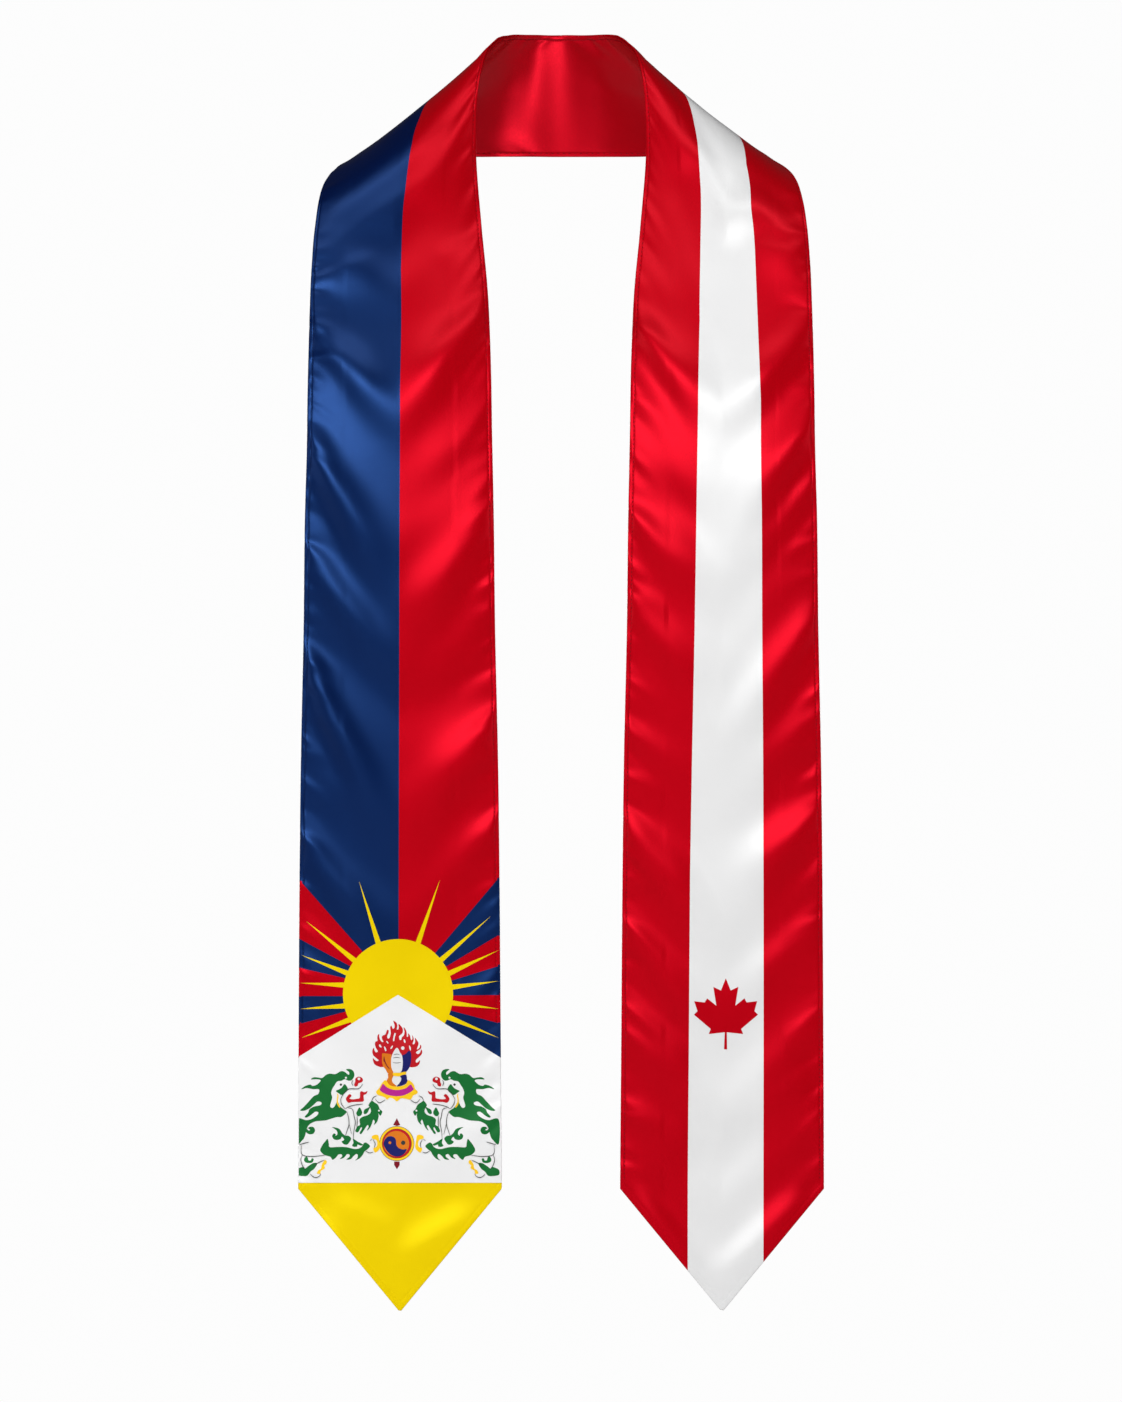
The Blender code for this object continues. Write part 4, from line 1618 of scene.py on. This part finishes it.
FLAME = (
    Patch(FLAME_RED, 5, (
        (400, 905), (320, 895), (255, 860), (228, 800), (225, 750), (250, 775), (290, 805), (325, 790),
        (270, 740), (230, 700), (215, 640), (225, 590), (245, 572), (250, 610), (275, 650), (310, 640),
        (300, 610), (275, 570), (260, 510), (270, 465), (305, 450), (300, 400), (310, 350), (335, 330),
        (335, 380), (350, 430), (385, 470), (410, 465), (385, 420), (380, 380), (400, 355), (440, 340),
        (460, 290), (475, 258), (500, 270), (495, 320), (475, 360), (480, 405), (510, 405), (525, 370),
        (535, 320), (530, 250), (525, 210), (545, 183), (555, 200), (570, 240), (600, 225), (600, 170),
        (580, 100), (640, 140), (650, 200), (640, 250), (665, 250), (675, 210), (668, 165), (690, 165),
        (740, 230), (745, 300), (715, 340), (680, 370), (690, 430), (720, 430), (730, 390), (765, 350),
        (775, 290), (760, 215), (800, 260), (815, 330), (815, 380), (840, 370), (835, 320), (865, 345),
        (880, 400), (895, 440), (915, 410), (905, 350), (930, 390), (935, 440), (915, 500), (940, 510),
        (960, 470), (960, 400), (1000, 450), (1020, 500), (990, 600), (1030, 580), (1045, 550),
        (1050, 515), (1070, 545), (1055, 590), (1010, 620), (975, 650), (1000, 680), (1040, 665),
        (1070, 600), (1085, 640), (1070, 690), (1020, 740), (970, 790), (980, 830), (1010, 820),
        (1045, 790), (1035, 850), (990, 895), (930, 910), (860, 905), (640, 850))),
    Patch(WHITE, 6, ((330, 530), (345, 510), (370, 540), (375, 565), (345, 558))),
    Patch(WHITE, 6, ((418, 560), (430, 548), (450, 580), (462, 620), (440, 628))),
    Patch(WHITE, 6, ((530, 585), (545, 550), (572, 530), (565, 565), (545, 590))),
    Patch(WHITE, 6, ((596, 330), (610, 312), (624, 330), (606, 390), (598, 450), (576, 452), (578, 400))),
    Patch(WHITE, 6, disc(745, 577, 30, 16)),
    Patch(WHITE, 6, ((760, 425), (780, 430), (795, 465), (785, 488), (765, 470))),
    Patch(WHITE, 6, ((855, 530), (872, 545), (888, 590), (880, 620), (862, 590))),
    Patch(WHITE, 6, ((455, 455), (475, 455), (497, 490), (482, 497))),
    Patch(ORANGE, 6, (
        (385, 690), (400, 668), (520, 680), (548, 700), (545, 800), (560, 900), (578, 990), (578, 1028),
        (520, 1030), (480, 1010), (440, 940), (400, 890), (385, 800))),
    Patch(MAROON, 7, (
        (408, 800), (425, 820), (470, 900), (515, 945), (510, 925), (470, 870), (440, 800), (420, 720))),
    Patch(NAVY, 6, (
        (735, 705), (790, 680), (850, 625), (888, 660), (890, 800), (862, 910), (800, 990), (710, 1003),
        (735, 900), (742, 800))),
    Patch(WHITE, 7, (
        (645, 570), (700, 660), (735, 720), (745, 850), (720, 985), (645, 1003), (580, 985), (545, 900),
        (545, 760), (575, 660))),
    Patch(ORANGE, 6, (
        (490, 1025), (575, 1035), (582, 1070), (557, 1120), (572, 1180), (640, 1240), (560, 1240),
        (495, 1205), (465, 1150), (490, 1090))),
    Patch(NAVY, 6, (
        (700, 1060), (800, 1038), (820, 1120), (830, 1160), (790, 1205), (700, 1240), (640, 1240),
        (698, 1170), (720, 1110))),
    Patch(WHITE, 6, (
        (582, 1065), (690, 1065), (710, 1120), (697, 1170), (640, 1235), (577, 1170), (560, 1120))),
    Patch(GOLD, 8, (
        (575, 1010), (690, 1006), (795, 988), (800, 1030), (740, 1045), (680, 1068), (600, 1062),
        (575, 1045))),
    Patch(GOLD, 7, (
        (430, 1138), (465, 1150), (500, 1205), (560, 1238), (640, 1248), (740, 1234), (800, 1200),
        (840, 1138), (890, 1160), (940, 1220), (962, 1290), (1006, 1332), (990, 1372), (930, 1402),
        (880, 1470), (790, 1460), (720, 1450), (690, 1472), (640, 1506), (592, 1466), (520, 1440),
        (470, 1476), (440, 1440), (370, 1412), (305, 1388), (280, 1335), (330, 1280), (375, 1200))),
    Patch(MAGENTA, 8, (
        (402, 1200), (470, 1260), (570, 1300), (680, 1305), (800, 1275), (880, 1212), (920, 1262),
        (936, 1296), (870, 1350), (760, 1400), (640, 1415), (510, 1400), (410, 1360), (345, 1306),
        (375, 1240))),
)

FLAME_LINES = (
    ((590, 692), (640, 680), (690, 692)),
    ((580, 748), (640, 738), (700, 748)),
    ((578, 828), (640, 836), (708, 826)),
)

WHEEL = (
    Patch(MAROON, 5, ((722, 160), (790, 295), (722, 312), (650, 295)), False),
    Patch(MAROON, 5, ((668, 1010), (778, 1010), (776, 1078), (724, 1162), (670, 1078)), False),
    Patch(OUTLINE, 5, disc(722, 658, 341, 72)),
    Patch(GOLD, 6, disc(722, 658, 332, 72)),
    Patch(OUTLINE, 7, disc(722, 658, 291, 72)),
    Patch(FLAME_RED, 8, disc(722, 658, 283, 72)),
    Patch(ORANGE, 9, disc(712, 662, 250, 72)),
    Patch(NAVY, 10, (
        (462, 680), (470, 620), (500, 560), (560, 520), (620, 515), (680, 545), (705, 600), (715, 690),
        (760, 745), (840, 775), (915, 765), (890, 830), (820, 890), (730, 912), (640, 895), (560, 840),
        (500, 760))),
    Patch(ORANGE, 11, disc(585, 642, 27, 18)),
    Patch(OUTLINE, 11, disc(846, 642, 42, 22)),
)

LEAF = Patch(RED, 1, (
    (454, 228), (435, 276), (405, 262), (417, 336), (381, 307), (371, 323), (330, 318), (343, 357),
    (329, 371), (395, 427), (387, 447), (450, 440), (447, 507), (459, 507), (458, 440), (522, 447),
    (514, 427), (580, 371), (566, 357), (577, 318), (536, 323), (527, 307), (491, 336), (503, 262),
    (473, 276)), False)


@dataclass
class Topstitch:
    """Row of thread stitches along one long edge of the cloth, all copies of one modelled stitch."""

    name: str
    form: ClothForm
    side: Side
    edge: Edge
    face: Face
    start: float
    stop: float
    pitch: float = 2.5 * MM
    length: float = 1.3 * MM
    radius: float = 0.20 * MM
    sunk: float = 0.10 * MM

    def _stitch(self) -> tuple[np.ndarray, list[list[int]]]:
        """Models one stitch along X, rounded over at both ends.

        Returns:
            Its points, and the point numbers of its faces.
        """
        bpy.ops.object.select_all(action="DESELECT")
        bpy.ops.mesh.primitive_cylinder_add(vertices=6, radius=self.radius, depth=self.length,
                                            location=(0, 0, 0), rotation=(0, math.pi / 2, 0))
        stitch = bpy.context.object
        bpy.ops.object.transform_apply(location=True, rotation=True, scale=True)
        for edge in stitch.data.edges:
            ends = [stitch.data.vertices[k].co.x for k in edge.vertices]
            edge.select = abs(ends[0] - ends[1]) < self.radius * 0.1
        bpy.ops.object.mode_set(mode="EDIT")
        bpy.ops.mesh.select_mode(type="EDGE")
        bpy.ops.mesh.bevel(offset=self.radius * 0.7, segments=2)
        bpy.ops.object.mode_set(mode="OBJECT")
        points = np.array([tuple(v.co) for v in stitch.data.vertices])
        faces = [list(f.vertices) for f in stitch.data.polygons]
        mesh = stitch.data
        bpy.data.objects.remove(stitch)
        bpy.data.meshes.remove(mesh)
        return points, faces

    def build(self, thread: Ink) -> bpy.types.Object:
        """Builds the row.

        Args:
            thread: Finish of the thread.

        Returns:
            Its object.
        """
        form = self.form
        model, sides = self._stitch()
        count = int((self.stop - self.start) / self.pitch)
        middle = self.start + (np.arange(count) + 0.5) * self.pitch
        top = self.face.value * (form.cut.layer_gap / 2 + form.cut.wall - self.sunk)
        ends = []
        for shift in (-0.5, 0.5):
            station = middle + shift * self.length
            share = STITCH_LINE / form.width(station)
            across = share if self.edge is Edge.NECK else 1 - share
            ends.append(form.place(self.side, station, across, np.full(count, top)))
        (first, up_a), (second, up_b) = ends
        along = second - first
        along /= np.linalg.norm(along, axis=1)[:, None]
        up = up_a + up_b
        up /= np.linalg.norm(up, axis=1)[:, None]
        across = np.cross(up, along)
        axes = np.stack([along, across, up], axis=1)
        points = ((first + second) / 2)[:, None] + np.einsum("pk,nkc->npc", model, axes)
        faces = [[n * len(model) + k for k in face] for n in range(count) for face in sides]
        return new_object(self.name, points.reshape(-1, 3), faces, [thread.make()])


STITCH_CLEAR = 4 * MM     # from the first and last stitch to the seam and the corner
PRINTED_RIM = 0.012       # edge of a panel that the ground colours reach, as a share of its width


@dataclass
class Stole:
    """The whole stole: two printed panels, the lining, prints and topstitching."""

    form: ClothForm

    def build(self) -> None:
        """Builds every piece and reports it."""
        left = self._panel(Side.LEFT, left_borders, (RED, BLUE, YELLOW, MOUNTAIN))
        right = self._panel(Side.RIGHT, right_borders, (RED, WHITE))
        # The lining's darker red paints the shade inside the neck band.
        lining = ClothSheet("satin_lining", self.form, Face.INNER, (Side.LEFT, Side.RIGHT), lining_borders,
                            lambda s, a: np.zeros(len(s)), (LINING_RED_PAINTED_SHADE,), row_step=2.4 * MM,
                            middle_columns=14, set_in=0.9 * MM).build()
        self._keep(lining, "lining")
        emblem = self._printed(self._emblem())
        leaf = self._printed(self._leaf())
        threads = self._threads(Face.OUTER)
        lining_threads = sum(self._threads(Face.INNER).values(), [])

    def _keep(self, piece: bpy.types.Object, node: Optional[str] = None) -> None:
        """Hands a piece to the frame and reports it.

        Args:
            piece: The piece.
            node: Solid that the piece stands for, if any.
        """
        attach(piece, BODY)
        if node:
            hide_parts(node)
        log.info("%s: %d faces", piece.name, len(piece.data.polygons))

    def _panel(self, side: Side, borders: Callable, finishes: tuple[Satin, ...]) -> bpy.types.Object:
        """Builds one printed panel.

        Args:
            side: Half of the stole.
            borders: Places of its stripe borders by station.
            finishes: Satins of its zones.

        Returns:
            Its object.
        """
        def zone(station: np.ndarray, across: np.ndarray) -> np.ndarray:
            """Number of the satin at some places.

            Args:
                station: Stations of the places.
                across: Their places across.

            Returns:
                A number for each place.
            """
            lines = borders(np.abs(station))
            if side is Side.RIGHT:
                return ((across > lines[:, 0]) & (across < lines[:, 1])).astype(int)
            zones = (across > lines[:, 0]).astype(int)
            point, _ = self.form.plain(np.abs(station), across)
            front = np.stack([-point[:, 0], point[:, 2]], axis=1)
            rim = np.minimum(across, 1 - across) < PRINTED_RIM
            for patch in GROUND:
                if patch.ink is not YELLOW:
                    held = inside_outline(on_picture(PICTURE, patch.points), front)
                    zones[rim & held] = finishes.index(patch.ink)
            zones[np.abs(station) > self.form.corner - CORNER_MARGIN] = finishes.index(YELLOW)
            return zones

        word = side.name.lower()
        sheet = ClothSheet(f"{word}_satin_panel", self.form, Face.OUTER, (side,), borders, zone, finishes,
                           middle_columns=29 if side is Side.LEFT else 19).build()
        self._keep(sheet, f"{word}_panel")
        return sheet

    def _emblem(self) -> Print:
        """Draws the prints of the left strap's end.

        Returns:
            The prints, without their objects.
        """
        figures = Print("emblem", self.form, Side.LEFT)
        for patch in GROUND:
            figures.add(PICTURE, patch)
        for patch in LION:
            for mirrored in (False, True):
                figures.add(LION_BOARD, patch, mirrored)
        for points in LION_LINES:
            for mirrored in (False, True):
                figures.stroke(LION_BOARD, points, 0.45 * MM, mirrored)
        for patch in FLAME:
            figures.add(FLAME_BOARD, patch)
        for points in FLAME_LINES:
            figures.stroke(FLAME_BOARD, points, 0.35 * MM)
        for patch in WHEEL:
            figures.add(WHEEL_BOARD, patch)
        return figures

    def _leaf(self) -> Print:
        """Draws the print of the right strap's end.

        Returns:
            The print, without its object.
        """
        figure = Print("leaf", self.form, Side.RIGHT)
        figure.add(LEAF_BOARD, LEAF)
        return figure

    def _printed(self, figures: Print) -> list[bpy.types.Object]:
        """Builds the objects of a print.

        Args:
            figures: The print.

        Returns:
            One object for each ink.
        """
        made = figures.build()
        for piece in made:
            self._keep(piece)
        return made

    def _threads(self, face: Face) -> dict[Side, list[bpy.types.Object]]:
        """Builds the topstitching as it shows on one layer.

        Args:
            face: Face of the stole that the layer is on.

        Returns:
            The rows of stitches of each half.
        """
        made: dict[Side, list[bpy.types.Object]] = {Side.LEFT: [], Side.RIGHT: []}
        outer = face is Face.OUTER
        for side in Side:
            half = side.name.lower()
            for edge in Edge:
                name = f"{half if outer else 'lining_' + half}_{edge.value}_topstitch"
                # The threads' darker colours paint the shade along the stitches.
                thread = NAVY_THREAD_PAINTED_SHADE if outer and side is Side.LEFT and edge is Edge.ARM else RED_THREAD_PAINTED_SHADE
                row = Topstitch(name, self.form, side, edge, face, STITCH_CLEAR if outer else 0.0,
                                self.form.corner - STITCH_CLEAR)
                piece = row.build(thread)
                self._keep(piece)
                made[side].append(piece)
        return made


def main() -> None:
    """Builds the stole and the studio."""
    logging.basicConfig(level=logging.INFO, format="%(name)s: %(message)s")
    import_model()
    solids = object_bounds()
    cut = Cut.from_box(Vector(solids[0]), Vector(solids[1]))
    log.info("spread %.4f m, drop %.4f m", cut.spread, cut.strap_drop)
    Stole(ClothForm(cut)).build()
    Stage().build()


if __name__ == "__main__":
    main()
